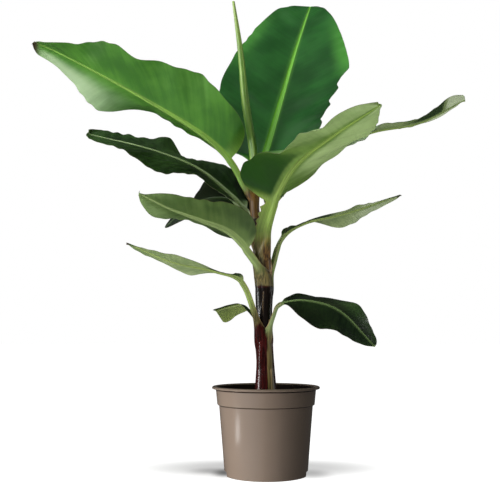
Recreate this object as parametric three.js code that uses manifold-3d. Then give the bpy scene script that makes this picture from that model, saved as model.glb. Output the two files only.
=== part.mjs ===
// A young banana plant in a round nursery pot, standing on the flat underside of the pot.
// Millimetres, +Z up. The origin is the centre of the underside, +X points to the right
// and +Y points away from a viewer in front.

import * as THREE from 'three';
import { mergeVertices } from 'three/addons/utils/BufferGeometryUtils.js';
import Module from 'manifold-3d';

// Clearance between pieces that touch, a wider one between leaves, whose faces are warped,
// and the facets of the round pieces.
const GAP = 0.3;
const LEAF_GAP = 0.6;
const POT_SEGMENTS = 52;
const STEM_SIDES = 18;
const STEM_LEVELS = 24;

// The pot: a thin tapered shell with a wider collar band under a turned-over lip.
const POT = {
  height: 170,
  wall: 2.2,
  floor: 2.5,
  footRadius: 79.8,
  bodyTopRadius: 90.8,
  bodyTop: 128.3,
  bandBottomRadius: 94.5,
  bandBottom: 132.4,
  bandTopRadius: 97.3,
  bandTop: 159,
  lipRadius: 105,
  lipHeight: 7,
};

// Drain cut-outs in the bottom edge of the pot: their directions in degrees round from +X.
const NOTCH = { directions: [0, 60, 120, 180], width: 24, height: 10, innerRadius: 74.5 };

// The filling of the pot, up to the foot of the stem.
const SOIL = { top: 148, edgeDrop: 4, crownRadius: 45 };

// The stem of rolled leaf sheaths, from its flared foot up to where the youngest stalks part:
// the height of each level, how far its centre leans to the side, and its radius.
const STEM = [
  { z: SOIL.top + GAP, lean: 0, radius: 25 },
  { z: 156, lean: 0, radius: 22.6 },
  { z: 173, lean: -0.5, radius: 20.6 },
  { z: 215, lean: -1, radius: 17.6 },
  { z: 256, lean: -1.6, radius: 15.8 },
  { z: 335, lean: -3.6, radius: 16.2 },
  { z: 394, lean: -4.2, radius: 17 },
  { z: 440, lean: -7.5, radius: 15.2 },
  { z: 473, lean: -14, radius: 12 },
  { z: 509, lean: -21, radius: 9.4 },
  { z: 546, lean: -23.5, radius: 8.6 },
  { z: 575, lean: -24.5, radius: 7.4 },
];

// Every leaf: the path of its stalk and midrib from inside the stem to the tip, the length
// of stalk before the blade, the greatest half-width of the blade, the roll of the blade
// about its midrib and the fold of its halves upwards at its start and at its tip in
// degrees, the curl of a half between midrib and margin in degrees, how pointed the
// blade's two ends are, and the height, number and phase of the waves along its margins.
// Left and right are as seen from the stem towards the tip. A side may be narrower or wider
// by a share of its width, and its margin lifted in millimetres, at stops of [place, value]
// from the blade's start (0) to its tip (1).
const LEAVES = [
  {
    name: 'leaf_upper_left',
    path: [[-24, 1, 535], [-41, -2, 564], [-72, -8, 617], [-139, -22, 674], [-269, -48, 747],
      [-392, -70, 809], [-453, -80, 835]],
    stalk: 95,
    half: 115,
    roll: [-12, -6],
    fold: [34, -12],
    curl: 6,
    ends: [0.4, 0.55],
    waves: [2, 3, 0.45],
    sides: {
      right: [[0, 1], [0.4, 1], [0.6, 1.05], [0.75, 1], [0.9, 0.9], [1, 1.2]],
    },
    lift: {
      left: [[0, 4], [0.2, 1], [0.3, 6], [0.36, -1], [0.46, -3], [0.54, -12], [0.62, 1], [0.7, 6],
        [0.8, -7], [1, -9]],
      right: [[0, -6], [0.2, -16], [0.3, -8], [0.4, 4], [0.48, -1], [0.54, -11], [0.63, -36],
        [0.7, -32], [0.8, -12], [0.9, 0], [1, -6]],
    },
  },
  {
    name: 'leaf_top',
    path: [[-20, 4, 545], [-6, 20, 613], [11, 40, 675], [36, 75, 769], [70, 125, 897], [109, 175, 1027]],
    stalk: 62,
    half: 130,
    roll: [-20, -20],
    fold: [10, 6],
    curl: 4,
    ends: [0.36, 0.38],
    waves: [2, 2.5, 0.6],
    sides: {
      left: [[0, 0.85], [0.15, 0.95], [0.4, 1.07], [0.6, 1.03], [0.75, 0.98], [0.9, 1.05], [1, 1.2]],
      right: [[0, 1.3], [0.1, 1.08], [0.25, 0.95], [0.42, 1], [0.54, 1.07], [0.68, 0.98], [0.85, 0.83],
        [1, 0.68]],
    },
  },
  {
    name: 'leaf_front_right',
    path: [[-8, -6, 409], [1, -20, 446], [6, -30, 486], [25, -52, 542], [58, -95, 587],
      [112, -175, 615], [183, -280, 641]],
    stalk: 120,
    half: 112,
    roll: [-4, -10],
    fold: [10, -5],
    curl: 0,
    ends: [0.4, 0.45],
    waves: [2, 3, 0.1],
    sides: {
      left: [[0, 0.6], [0.1, 0.85], [0.3, 1], [0.7, 0.9], [0.84, 0.7], [1, 0.35]],
      right: [[0, 1], [0.5, 1], [0.8, 0.95], [1, 0.8]],
    },
    lift: {
      left: [[0, 24], [0.08, 10], [0.18, 6], [0.25, 15], [0.34, 14], [0.46, 15], [0.6, 11], [0.7, 12],
        [0.85, 17], [1, 3]],
      right: [[0, 0], [0.08, 30], [0.16, 21], [0.28, -3], [0.38, -11], [0.46, -14], [0.55, -26],
        [0.62, -23], [0.7, -10], [0.8, -12], [0.9, 3], [0.96, 9], [1, 6]],
    },
  },
  {
    name: 'leaf_right_back',
    path: [[-9, 2, 435], [4, 20, 488], [21, 33, 540], [116, 70, 635], [227, 110, 704], [349, 140, 737],
      [459, 165, 799]],
    stalk: 96,
    half: 70,
    roll: [-9, -7],
    fold: [0, 30],
    curl: 0,
    ends: [0.4, 0.5],
    waves: [1.5, 3, 0.5],
    sides: {
      right: [[0, 0.7], [0.035, 0.9], [0.075, 0.2], [0.1, 0.6], [0.15, 0.9], [0.22, 1], [1, 1]],
    },
    lift: {
      left: [[0, -10], [0.1, -7], [0.25, -16], [0.38, -14], [0.54, 0], [0.62, 2], [0.72, -5],
        [0.82, -10], [0.9, -8], [1, 8]],
      right: [[0, -6], [0.1, 2], [0.22, 1], [0.34, -4], [0.44, -16], [0.54, -8], [0.62, -17],
        [0.72, -13], [0.82, -5], [0.9, 2], [1, 2]],
    },
  },
  {
    name: 'leaf_left_back',
    path: [[-18, 2, 450], [-39, 14, 512], [-83, 35, 563], [-147, 60, 618], [-249, 95, 666],
      [-392, 140, 712]],
    stalk: 75,
    half: 75,
    roll: [27, 32],
    fold: [17, -4],
    curl: 0,
    ends: [0.4, 0.5],
    waves: [2, 3, 0.5],
    sides: {
      right: [[0, 0.55], [0.12, 0.85], [0.25, 1], [1, 1]],
    },
    lift: {
      left: [[0, 6], [0.1, 12], [0.22, 15], [0.3, -1], [0.38, -13], [0.46, -16], [0.54, -9], [0.63, 1],
        [0.7, 10], [0.9, 8], [1, 4]],
      right: [[0, -8], [0.1, -15], [0.28, -12], [0.38, -24], [0.46, -46], [0.54, -35], [0.61, 4],
        [0.7, -5], [0.82, -3], [1, 10]],
    },
  },
  {
    name: 'leaf_back',
    path: [[-14, 6, 440], [-35, 28, 496], [-63, 50, 541], [-106, 68, 553], [-158, 84, 540],
      [-213, 100, 495]],
    stalk: 75,
    half: 75,
    roll: [40, 60],
    fold: [0, 0],
    curl: 0,
    ends: [0.4, 0.5],
    waves: [1.5, 2, 0.4],
    sides: {
      left: [[0, 0.6], [1, 0.6]],
      right: [[0, 0.6], [0.2, 0.8], [0.4, 1.05], [0.5, 1.05], [0.6, 0.95], [0.68, 0.3], [1, 0.5]],
    },
  },
  {
    name: 'leaf_front_left',
    path: [[-5, -8, 360], [-19, -22, 408], [-68, -40, 462], [-127, -62, 485], [-186, -88, 504],
      [-237, -115, 527]],
    stalk: 85,
    half: 62,
    roll: [-20, -8],
    fold: [30, -6],
    curl: 0,
    ends: [0.4, 0.5],
    waves: [1.5, 2, 0.4],
    lift: {
      left: [[0, -2], [0.15, 7], [0.3, 7], [0.45, -2], [0.6, -2], [0.72, 4], [0.88, 2], [1, -6]],
      right: [[0, 24], [0.08, 12], [0.15, 1], [0.25, -4], [0.46, 9], [0.62, 4], [0.76, -7], [0.9, 0],
        [1, 8]],
    },
  },
  {
    name: 'leaf_lower_left',
    path: [[-6, -6, 240], [-22, -22, 310], [-48, -34, 370], [-100, -55, 388], [-181, -90, 403],
      [-256, -125, 433]],
    stalk: 137,
    half: 38,
    roll: [-2, -6],
    fold: [-4, -16],
    curl: 0,
    ends: [0.4, 0.6],
    waves: [1, 2, 0.4],
    sides: {
      left: [[0, 0.5], [0.06, 0.5], [0.13, 0.35], [0.3, 0.45], [0.42, 0.9], [1, 1]],
      right: [[0, 1.2], [0.05, 0.9], [0.09, 0.25], [0.15, 0.25], [0.22, 0.4], [0.3, 0.45], [0.4, 1],
        [0.55, 0.9], [1, 0.9]],
    },
    lift: {
      left: [[0, 8], [0.06, 7], [0.13, 0], [0.2, -1], [0.4, 5], [0.62, 12], [0.72, 9], [0.84, 4],
        [1, -4]],
      right: [[0, 16], [0.06, 14], [0.11, 3], [0.18, 5], [0.25, 9], [0.32, 10], [0.4, -3], [0.5, 1],
        [0.65, 8], [0.8, 5], [1, 1]],
    },
  },
  {
    name: 'leaf_middle_right',
    path: [[0, 0, 345], [13, 6, 403], [32, 16, 459], [79, 35, 494], [179, 65, 523], [292, 95, 566]],
    stalk: 100,
    half: 46,
    roll: [4, 22],
    fold: [0, -18],
    curl: 0,
    ends: [0.4, 0.6],
    waves: [1, 2, 0.4],
    sides: {
      left: [[0, 0.05], [0.08, 0.1], [0.13, 0.5], [0.17, 0.6], [0.23, 0.35], [0.3, 0.4], [0.4, 0.7],
        [0.54, 1.1], [0.64, 1.15], [0.75, 1], [1, 0.9]],
      right: [[0, 0.05], [0.08, 0.1], [0.13, 0.4], [0.2, 0.3], [0.3, 0.4], [0.44, 0.85], [0.56, 1.1],
        [1, 1]],
    },
    lift: {
      left: [[0, 0], [0.08, 2], [0.13, 8], [0.17, 10], [0.23, 6], [0.32, 8], [0.42, 4], [0.54, -3],
        [0.64, -4], [0.75, 2], [0.85, 3], [1, -1]],
      right: [[0, 0], [0.08, 3], [0.14, 9], [0.2, 1], [0.3, 0], [0.5, 1], [0.6, 4], [0.72, -1],
        [0.85, -4], [1, -4]],
    },
  },
  {
    name: 'leaf_low_back',
    path: [[-8, 6, 270], [-25, 26, 310], [-43, 42, 327], [-72, 62, 324], [-102, 78, 316]],
    stalk: 24,
    half: 30,
    roll: [-28, -28],
    fold: [-24, -24],
    curl: 0,
    ends: [0.5, 0.14],
    waves: [1, 2, 0.4],
    sides: {
      left: [[0, 0.7], [0.4, 0.6], [1, 0.65]],
      right: [[0, 0.4], [0.4, 0.6], [0.7, 0.8], [0.85, 1.05], [1, 1.3]],
    },
  },
  {
    name: 'leaf_lower_right',
    path: [[0, -6, 250], [12, -17, 299], [27, -24, 326], [76, -45, 332], [138, -72, 310],
      [198, -95, 244]],
    stalk: 85,
    half: 55,
    roll: [-32, -45],
    fold: [-20, -5],
    curl: 0,
    ends: [0.4, 0.55],
    waves: [1, 2, 0.4],
    sides: {
      left: [[0, 0.1], [0.05, 0.4], [0.09, 1], [0.14, 1], [1, 1]],
      right: [[0, 0.35], [0.08, 0.5], [0.2, 0.85], [0.35, 1], [1, 1]],
    },
    lift: {
      left: [[0, 0], [0.09, 6], [0.2, -3], [0.3, -10], [0.46, -13], [0.54, -9], [0.64, 2], [0.74, -3],
        [0.82, -8], [0.9, -7], [1, 0]],
      right: [[0, 4], [0.15, 12], [0.3, 7], [0.4, -1], [0.48, -3], [0.54, -1], [0.64, 9], [0.74, 13],
        [1, 9]],
    },
  },
];

// Sections of a stalk and of a midrib, the same on all leaves.
const STALK = { footHalf: 13, half: 6, tipHalf: 1.5, depth: 7.5, tipDepth: 1.6, fold: 25 };
const BLADE_THICKNESS_SHARE = 0.01;
const LEAST_THICKNESS = 1.5;
const ACROSS = [-1, -0.5, 0, 0.5, 1];
const STALK_LEVELS = 7;
const BLADE_LEVELS = 20;

// A side of full width, a margin that isn't lifted, and the share of the blade over which
// the waves and lifts of its margins grow from nothing.
const MARGIN_EVEN = [[0, 1], [1, 1]];
const MARGIN_LEVEL = [[0, 0], [1, 0]];
const MARGIN_START = 0.07;

// The youngest leaf, still rolled into a slender spear: its path and its radius at each point.
const SPEAR = {
  path: [[-24.5, -1, 575.5], [-25, -8, 633], [-41, -14, 739], [-51, -20, 842], [-65, -28, 942]],
  radii: [6.5, 8.2, 7.8, 5.6, 2.6],
  sides: 10,
  levels: 24,
};

const wasm = await Module();
wasm.setup();

const radians = THREE.MathUtils.degToRad;
const mix = THREE.MathUtils.lerp;

// A closed geometry as a manifold solid, with its shared vertices merged.
function solidFrom(geometry) {
  const bare = geometry.clone();
  bare.deleteAttribute('normal');
  bare.deleteAttribute('uv');
  const merged = mergeVertices(bare, 1e-4);
  return new wasm.Manifold(new wasm.Mesh({
    numProp: 3,
    vertProperties: new Float32Array(merged.attributes.position.array),
    triVerts: new Uint32Array(merged.index.array),
  }));
}

// A manifold solid back as a geometry with flat faces.
function geometryFrom(solid) {
  const { vertProperties, triVerts } = solid.getMesh();
  const geometry = new THREE.BufferGeometry();
  geometry.setAttribute('position', new THREE.BufferAttribute(vertProperties, 3));
  geometry.setIndex(new THREE.BufferAttribute(triVerts, 1));
  geometry.computeVertexNormals();
  return geometry;
}

// The largest body of a solid, without the scraps that a cut leaves.
function largestBody(solid) {
  return solid.decompose().reduce((best, body) => (body.volume() > best.volume() ? body : best));
}

// A mesh with a finish of its own.
function part(name, geometry, color, roughness) {
  const material = new THREE.MeshStandardMaterial({ color, roughness, metalness: 0 });
  const mesh = new THREE.Mesh(geometry, material);
  mesh.name = name;
  return mesh;
}

// A closed body turned about Z from [radius, height] pairs that go up outside and down inside.
function turned(profile) {
  const points = profile.map(([radius, height]) => new THREE.Vector2(radius, height));
  return new THREE.LatheGeometry(points, POT_SEGMENTS).rotateX(Math.PI / 2);
}

// A closed body skinned over rings that all have the same number of points.
function lofted(rings) {
  const count = rings[0].length;
  const positions = rings.flat().flatMap((point) => point.toArray());
  const index = [];
  for (let level = 0; level + 1 < rings.length; level++) {
    for (let i = 0; i < count; i++) {
      const a = level * count + i;
      const b = level * count + (i + 1) % count;
      index.push(a, b, b + count, a, b + count, a + count);
    }
  }
  const last = (rings.length - 1) * count;
  for (let i = 1; i + 1 < count; i++) {
    index.push(0, i + 1, i);
    index.push(last, last + i, last + i + 1);
  }
  const geometry = new THREE.BufferGeometry();
  geometry.setAttribute('position', new THREE.Float32BufferAttribute(positions, 3));
  geometry.setIndex(index);
  return geometry;
}

// The inside radius of the pot at a height: under the collar band, or inside it.
function potInside(height) {
  const { footRadius, bodyTopRadius, bodyTop, bandBottomRadius, bandBottom, bandTopRadius, bandTop } = POT;
  if (height <= bodyTop) {
    return mix(footRadius, bodyTopRadius, height / bodyTop) - POT.wall;
  }
  const share = (height - bandBottom) / (bandTop - bandBottom);
  return mix(bandBottomRadius, bandTopRadius, Math.max(share, 0)) - POT.wall;
}

function makePot() {
  const { height, lipRadius, lipHeight, bandTop, bandTopRadius, bandBottom, bodyTop, floor } = POT;
  const lipBottom = height - lipHeight;
  const shell = solidFrom(turned([
    [0, 0],
    [POT.footRadius, 0],
    [POT.bodyTopRadius, bodyTop],
    [POT.bandBottomRadius, bandBottom],
    [bandTopRadius, bandTop],
    [bandTopRadius + 1, lipBottom],
    [lipRadius - 1.5, lipBottom],
    [lipRadius, lipBottom + 1.5],
    [lipRadius, height - 2.6],
    [lipRadius - 1.6, height - 0.6],
    [lipRadius - 4, height],
    [bandTopRadius, height - 1],
    [bandTopRadius - 1.8, lipBottom],
    [potInside(bandTop), bandTop],
    [potInside(bandBottom), bandBottom],
    [potInside(bodyTop), bodyTop],
    [potInside(floor), floor],
    [0, floor],
  ]));
  return part('pot', geometryFrom(cutNotches(shell)), 0x8a7869, 0.35);
}

// The drain cut-outs go through the wall and the rim of the floor.
function cutNotches(shell) {
  const reach = POT.footRadius + 10 - NOTCH.innerRadius;
  const middle = NOTCH.innerRadius + reach / 2;
  return NOTCH.directions.reduce((solid, direction) => {
    const block = new THREE.BoxGeometry(reach, NOTCH.width, NOTCH.height * 2);
    block.translate(middle, 0, 0).rotateZ(radians(direction));
    return solid.subtract(solidFrom(block));
  }, shell);
}

function makeSoil() {
  const bottom = POT.floor + GAP;
  const edge = SOIL.top - SOIL.edgeDrop;
  const profile = [
    [0, bottom],
    [potInside(bottom) - GAP, bottom],
    [potInside(POT.bodyTop) - GAP, POT.bodyTop],
    [potInside(POT.bandBottom) - GAP, POT.bandBottom],
    [potInside(edge) - GAP, edge],
    [SOIL.crownRadius, SOIL.top],
    [0, SOIL.top],
  ];
  return part('soil', geometryFrom(solidFrom(turned(profile))), 0x3a2a1e, 0.95);
}

// The stem's centre and radius at any height, on a smooth curve through its levels.
const stemCurve = new THREE.CatmullRomCurve3(
  STEM.map(({ z, lean, radius }) => new THREE.Vector3(lean, radius, z)), false, 'catmullrom', 0.5);

function stemSolid(grow) {
  const rings = [];
  for (let level = 0; level <= STEM_LEVELS; level++) {
    const { x: lean, y: radius, z } = stemCurve.getPoint(level / STEM_LEVELS);
    const ends = level === 0 ? -grow : (level === STEM_LEVELS ? grow : 0);
    const ring = [];
    for (let i = 0; i < STEM_SIDES; i++) {
      const angle = (2 * Math.PI * i) / STEM_SIDES;
      const reach = radius + grow;
      ring.push(new THREE.Vector3(lean + reach * Math.cos(angle), reach * Math.sin(angle), z + ends));
    }
    rings.push(ring);
  }
  return solidFrom(lofted(rings));
}

// The value at a place on a smooth curve through [place, value] stops.
function valueAt(stops, place) {
  const slope = (k) => {
    const [before, low] = stops[Math.max(k - 1, 0)];
    const [after, high] = stops[Math.min(k + 1, stops.length - 1)];
    return (high - low) / (after - before);
  };
  const next = Math.max(1, stops.findIndex(([stop]) => place <= stop));
  const [start, from] = stops[next - 1];
  const [end, to] = stops[next];
  const step = end - start;
  const t = (place - start) / step;
  const rise = t * t * (3 - 2 * t);
  const leave = t * (1 - t) * (1 - t) * step * slope(next - 1);
  const arrive = t * t * (t - 1) * step * slope(next);
  return mix(from, to, rise) + leave + arrive;
}

// The blade's half-width as a share of its greatest, from its start (0) to its tip (1).
function bladeOutline(along, [start, tip]) {
  const peak = start / (start + tip);
  const shape = (t) => t ** start * (1 - t) ** tip;
  return shape(along) / shape(peak);
}

// The stretches of a leaf's path that its sections stand on, closer near the blade's ends.
function leafStations(leaf, length) {
  const stations = [];
  for (let i = 0; i < STALK_LEVELS; i++) {
    stations.push((leaf.stalk * i) / STALK_LEVELS);
  }
  for (let i = 0; i <= BLADE_LEVELS; i++) {
    const eased = 0.5 - 0.5 * Math.cos((Math.PI * i) / BLADE_LEVELS);
    stations.push(mix(leaf.stalk, length, mix(i / BLADE_LEVELS, eased, 0.6)));
  }
  return stations;
}

// One half of a leaf at a section: its width, and how far its margin is waved and lifted.
function leafHalf(leaf, blade, least, hand) {
  const side = hand < 0 ? 'left' : 'right';
  const share = valueAt(leaf.sides?.[side] ?? MARGIN_EVEN, blade);
  const width = Math.max(least, leaf.half * share * bladeOutline(blade, leaf.ends));
  const [height, count, phase] = leaf.waves;
  const swing = Math.sin(2 * Math.PI * (count * blade + phase + 0.2 * hand));
  const wave = height * swing * Math.sin(Math.PI * Math.sqrt(blade));
  const lift = valueAt(leaf.lift?.[side] ?? MARGIN_LEVEL, blade);
  return { width, raised: (wave + lift) * THREE.MathUtils.smoothstep(blade, 0, MARGIN_START) };
}

// The section's sizes at a distance along the path: its two halves, fold, roll and depths.
function leafSection(leaf, length, distance) {
  const blade = Math.max(0, (distance - leaf.stalk) / (length - leaf.stalk));
  const inStalk = Math.min(1, distance / leaf.stalk);
  const stalkHalf = mix(STALK.footHalf, STALK.half, Math.sqrt(inStalk));
  const ribHalf = mix(stalkHalf, STALK.tipHalf, blade);
  return {
    left: leafHalf(leaf, blade, ribHalf, -1),
    right: leafHalf(leaf, blade, ribHalf, 1),
    fold: radians(distance < leaf.stalk ? STALK.fold : mix(leaf.fold[0], leaf.fold[1], blade)),
    roll: radians(mix(leaf.roll[0], leaf.roll[1], blade) * inStalk),
    curl: radians(distance < leaf.stalk ? 0 : leaf.curl),
    sheet: Math.max(length * BLADE_THICKNESS_SHARE, LEAST_THICKNESS) / 2,
    rib: mix(STALK.depth, STALK.tipDepth, Math.sqrt(blade)),
  };
}

// One closed section of a leaf: its upper face from one margin to the other, and back below.
function leafRing(section, centre, tangent, grow) {
  const level = new THREE.Vector3().crossVectors(tangent, new THREE.Vector3(0, 0, 1)).normalize();
  const upright = new THREE.Vector3().crossVectors(level, tangent);
  const side = level.clone().applyAxisAngle(tangent, -section.roll);
  const up = upright.applyAxisAngle(tangent, -section.roll);
  const place = (across, above) => {
    const { width, raised } = across < 0 ? section.left : section.right;
    const u = Math.abs(across) * (1 + grow / width);
    const turn = section.fold + section.curl * u;
    const middleTurn = section.fold + section.curl * u / 2;
    const out = width * u * Math.cos(middleTurn);
    const lift = width * u * Math.sin(middleTurn) + raised * u * u;
    const slope = Math.atan2(width * Math.sin(turn) + 2 * raised * u, width * Math.cos(turn));
    return centre.clone()
      .addScaledVector(side, Math.sign(across) * (out - above * Math.sin(slope)))
      .addScaledVector(up, lift + above * Math.cos(slope));
  };
  const upper = ACROSS.map((across) => place(across, section.sheet + grow));
  const lower = ACROSS.map((across) => {
    const rib = across === 0 ? section.rib : 0;
    return place(across, -section.sheet - rib - grow);
  });
  return [...upper, ...lower.reverse()];
}

function leafSolid(leaf, grow) {
  const path = new THREE.CatmullRomCurve3(leaf.path.map((point) => new THREE.Vector3(...point)),
    false, 'catmullrom', 0.5);
  const length = path.getLength();
  const rings = leafStations(leaf, length).map((distance) => {
    const share = distance / length;
    const section = leafSection(leaf, length, distance);
    return leafRing(section, path.getPointAt(share), path.getTangentAt(share), grow);
  });
  return solidFrom(lofted(rings));
}

function spearSolid(grow) {
  const path = new THREE.CatmullRomCurve3(SPEAR.path.map((point) => new THREE.Vector3(...point)),
    false, 'catmullrom', 0.5);
  const rings = [];
  for (let level = 0; level <= SPEAR.levels; level++) {
    const share = level / SPEAR.levels;
    const step = Math.min(share * (SPEAR.radii.length - 1), SPEAR.radii.length - 1.001);
    const radius = mix(SPEAR.radii[Math.floor(step)], SPEAR.radii[Math.floor(step) + 1], step % 1) + grow;
    const centre = path.getPoint(share);
    const ring = [];
    for (let i = 0; i < SPEAR.sides; i++) {
      const angle = (2 * Math.PI * i) / SPEAR.sides;
      ring.push(new THREE.Vector3(radius * Math.cos(angle), radius * Math.sin(angle), 0).add(centre));
    }
    rings.push(ring);
  }
  return solidFrom(lofted(rings));
}

const plant = new THREE.Group();
plant.add(makePot(), makeSoil());
plant.add(part('pseudostem', geometryFrom(stemSolid(0)), 0x4a1d17, 0.35));
plant.add(part('spear', geometryFrom(spearSolid(0)), 0x6f9a3c, 0.45));

// Each leaf is cut clear of the stem, of the spear and of the leaves before it.
const taken = [stemSolid(GAP), spearSolid(GAP)];
for (const leaf of LEAVES) {
  const solid = taken.reduce((rest, other) => rest.subtract(other), leafSolid(leaf, 0));
  taken.push(leafSolid(leaf, LEAF_GAP));
  plant.add(part(leaf.name, geometryFrom(largestBody(solid)), 0x3f6b2c, 0.45));
}

export default plant;
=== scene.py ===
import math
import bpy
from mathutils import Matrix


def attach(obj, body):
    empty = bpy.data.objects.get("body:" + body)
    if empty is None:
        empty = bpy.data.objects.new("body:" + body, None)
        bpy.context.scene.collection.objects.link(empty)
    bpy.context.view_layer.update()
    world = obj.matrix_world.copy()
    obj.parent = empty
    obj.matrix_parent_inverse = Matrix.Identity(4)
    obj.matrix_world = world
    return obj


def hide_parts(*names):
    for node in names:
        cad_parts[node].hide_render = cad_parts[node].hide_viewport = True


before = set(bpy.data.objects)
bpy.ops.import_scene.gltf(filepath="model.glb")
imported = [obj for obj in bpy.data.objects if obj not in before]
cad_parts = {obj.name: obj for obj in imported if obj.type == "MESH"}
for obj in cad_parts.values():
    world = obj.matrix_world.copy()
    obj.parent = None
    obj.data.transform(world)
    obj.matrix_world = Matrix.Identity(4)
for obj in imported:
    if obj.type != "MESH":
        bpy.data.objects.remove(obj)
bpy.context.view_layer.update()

# A young banana plant in a round nursery pot on a pale studio floor.
# Plant sizes are millimetres, as in the plant's source, and become metres when a mesh is made.
# The origin is the centre of the pot's underside, +X points right and +Y away from the camera.

from types import SimpleNamespace

import bmesh
import bpy
import numpy as np
from mathutils import Matrix, Vector, noise

MM = 0.001
UP = np.array([0.0, 0.0, 1.0])

# The camera: its place, its upward tilt and its focal length in pixels of the photograph.
PHOTO_SIDE = 500
SENSOR_WIDTH = 36.0
FOCAL_PIXELS = 732.0
CAMERA_PLACE = (-0.031, -1.450, 0.2585)
CAMERA_TILT = 6.92


def make_camera():
    data = bpy.data.cameras.new("camera")
    data.sensor_width = SENSOR_WIDTH
    data.lens = FOCAL_PIXELS * SENSOR_WIDTH / PHOTO_SIDE
    camera = bpy.data.objects.new("camera", data)
    camera.location = CAMERA_PLACE
    camera.rotation_euler = (math.radians(90 + CAMERA_TILT), 0, 0)
    bpy.context.collection.objects.link(camera)
    bpy.context.scene.camera = camera


make_camera()


# Numbers and curves

def mix(a, b, share):
    return a + (b - a) * share


def smooth(value, low=0.0, high=1.0):
    t = np.clip((np.asarray(value, float) - low) / (high - low), 0.0, 1.0)
    return t * t * (3.0 - 2.0 * t)


def unit(vectors):
    return vectors / np.linalg.norm(vectors, axis=-1, keepdims=True)


def between(value, stops):
    """The value of a smooth curve through stops, each a position and its value."""
    positions, values = (np.array(list(column), float) for column in (stops, stops.values()))
    value = np.clip(value, positions[0], positions[-1])
    wide_positions, wide_values = (np.pad(column, 1, mode="edge") for column in (positions, values))
    slopes = (wide_values[2:] - wide_values[:-2]) / (wide_positions[2:] - wide_positions[:-2])
    i = np.clip(np.searchsorted(positions, value, side="right") - 1, 0, len(positions) - 2)
    step = positions[i + 1] - positions[i]
    t = (value - positions[i]) / step
    return (
        (2 * t**3 - 3 * t**2 + 1) * values[i]
        + (t**3 - 2 * t**2 + t) * step * slopes[i]
        + (3 * t**2 - 2 * t**3) * values[i + 1]
        + (t**3 - t**2) * step * slopes[i + 1]
    )


def even_turns(count):
    return np.linspace(0, 2 * np.pi, count, endpoint=False)


class Path:
    """A Catmull-Rom curve through points, measured by arc length."""

    FINE = 600

    def __init__(self, points):
        points = np.array(points, float)
        first = 2 * points[0] - points[1]
        last = 2 * points[-1] - points[-2]
        self.points = np.vstack([first, points, last])
        self.spans = len(points) - 1
        places = self.at(np.linspace(0, 1, self.FINE + 1))[0]
        lengths = np.linalg.norm(np.diff(places, axis=0), axis=1)
        self.lengths = np.concatenate([[0], np.cumsum(lengths)])
        self.length = self.lengths[-1]

    def at(self, share):
        """Points and directions at even shares of the curve's parameter."""
        step = np.clip(np.asarray(share, float), 0, 1) * self.spans
        i = np.minimum(step.astype(int), self.spans - 1)
        t = (step - i)[:, None]
        p0, p1, p2, p3 = (self.points[i + k] for k in range(4))
        t0 = 0.5 * (p2 - p0)
        t1 = 0.5 * (p3 - p1)
        c2 = -3 * p1 + 3 * p2 - 2 * t0 - t1
        c3 = 2 * p1 - 2 * p2 + t0 + t1
        places = p1 + t0 * t + c2 * t**2 + c3 * t**3
        return places, unit(t0 + 2 * c2 * t + 3 * c3 * t**2)

    def along(self, distances):
        """Points and directions at distances along the curve."""
        share = np.interp(distances, self.lengths, np.linspace(0, 1, self.FINE + 1))
        return self.at(share)


# Meshes

def make_object(name, places, faces, node_names, materials, face_materials=None):
    """A smooth-shaded mesh object from places in millimetres, standing for CAD nodes."""
    mesh = bpy.data.meshes.new(name)
    mesh.from_pydata((places.reshape(-1, 3) * MM).tolist(), [], faces)
    for material in materials:
        mesh.materials.append(material)
    if face_materials is not None:
        mesh.polygons.foreach_set("material_index", np.asarray(face_materials, np.int32))
    mesh.polygons.foreach_set("use_smooth", np.ones(len(mesh.polygons), bool))
    piece = bpy.data.objects.new(name, mesh)
    bpy.context.collection.objects.link(piece)
    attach(piece, "root")
    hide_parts(*node_names)
    return piece


def grid_faces(rows, columns):
    """Quads over rows of points, each row a closed ring."""
    row = np.arange(rows - 1)[:, None] * columns
    column = np.arange(columns)[None, :]
    after = (column + 1) % columns
    corners = (row + column, row + after, row + columns + after, row + columns + column)
    return np.stack(np.broadcast_arrays(*corners), -1).reshape(-1, 4).tolist()


def closed_faces(rows, columns):
    """The same quads, with a face over the first row and one over the last."""
    last = (rows - 1) * columns
    ends = [list(range(columns))[::-1], [last + i for i in range(columns)]]
    return grid_faces(rows, columns) + ends


def set_values(mesh, name, values):
    """One number for each vertex, read by the materials under this name."""
    layer = mesh.attributes.new(name, "FLOAT", "POINT")
    layer.data.foreach_set("value", np.asarray(values, np.float32).ravel())


def set_map(mesh, name, per_corner):
    layer = mesh.uv_layers.new(name=name)
    layer.data.foreach_set("uv", np.asarray(per_corner, np.float32).ravel())


def corner_vertices(mesh):
    """The vertex of each face corner."""
    vertices = np.zeros(len(mesh.loops), np.int32)
    mesh.loops.foreach_get("vertex_index", vertices)
    return vertices


# Finishes

def colour(code):
    """A colour written as red, green and blue of 255, as the shaders take it."""
    shares = [c / 255 for c in code]
    return [s / 12.92 if s <= 0.04045 else ((s + 0.055) / 1.055) ** 2.4 for s in shares] + [1.0]


class Graph:
    """Short calls for the nodes of a material or of the surroundings."""

    def __init__(self, owner):
        owner.use_nodes = True
        self.tree = owner.node_tree

    def feed(self, socket, value):
        if isinstance(value, bpy.types.NodeSocket):
            self.tree.links.new(value, socket)
        elif isinstance(value, (tuple, list)) and socket.type == "RGBA":
            socket.default_value = colour(value) if len(value) == 3 else value
        else:
            socket.default_value = value

    def node(self, kind, inputs, **settings):
        made = self.tree.nodes.new(kind)
        for key, value in settings.items():
            setattr(made, key, value)
        for key, value in inputs.items():
            self.feed(made.inputs[key], value)
        return made


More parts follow.
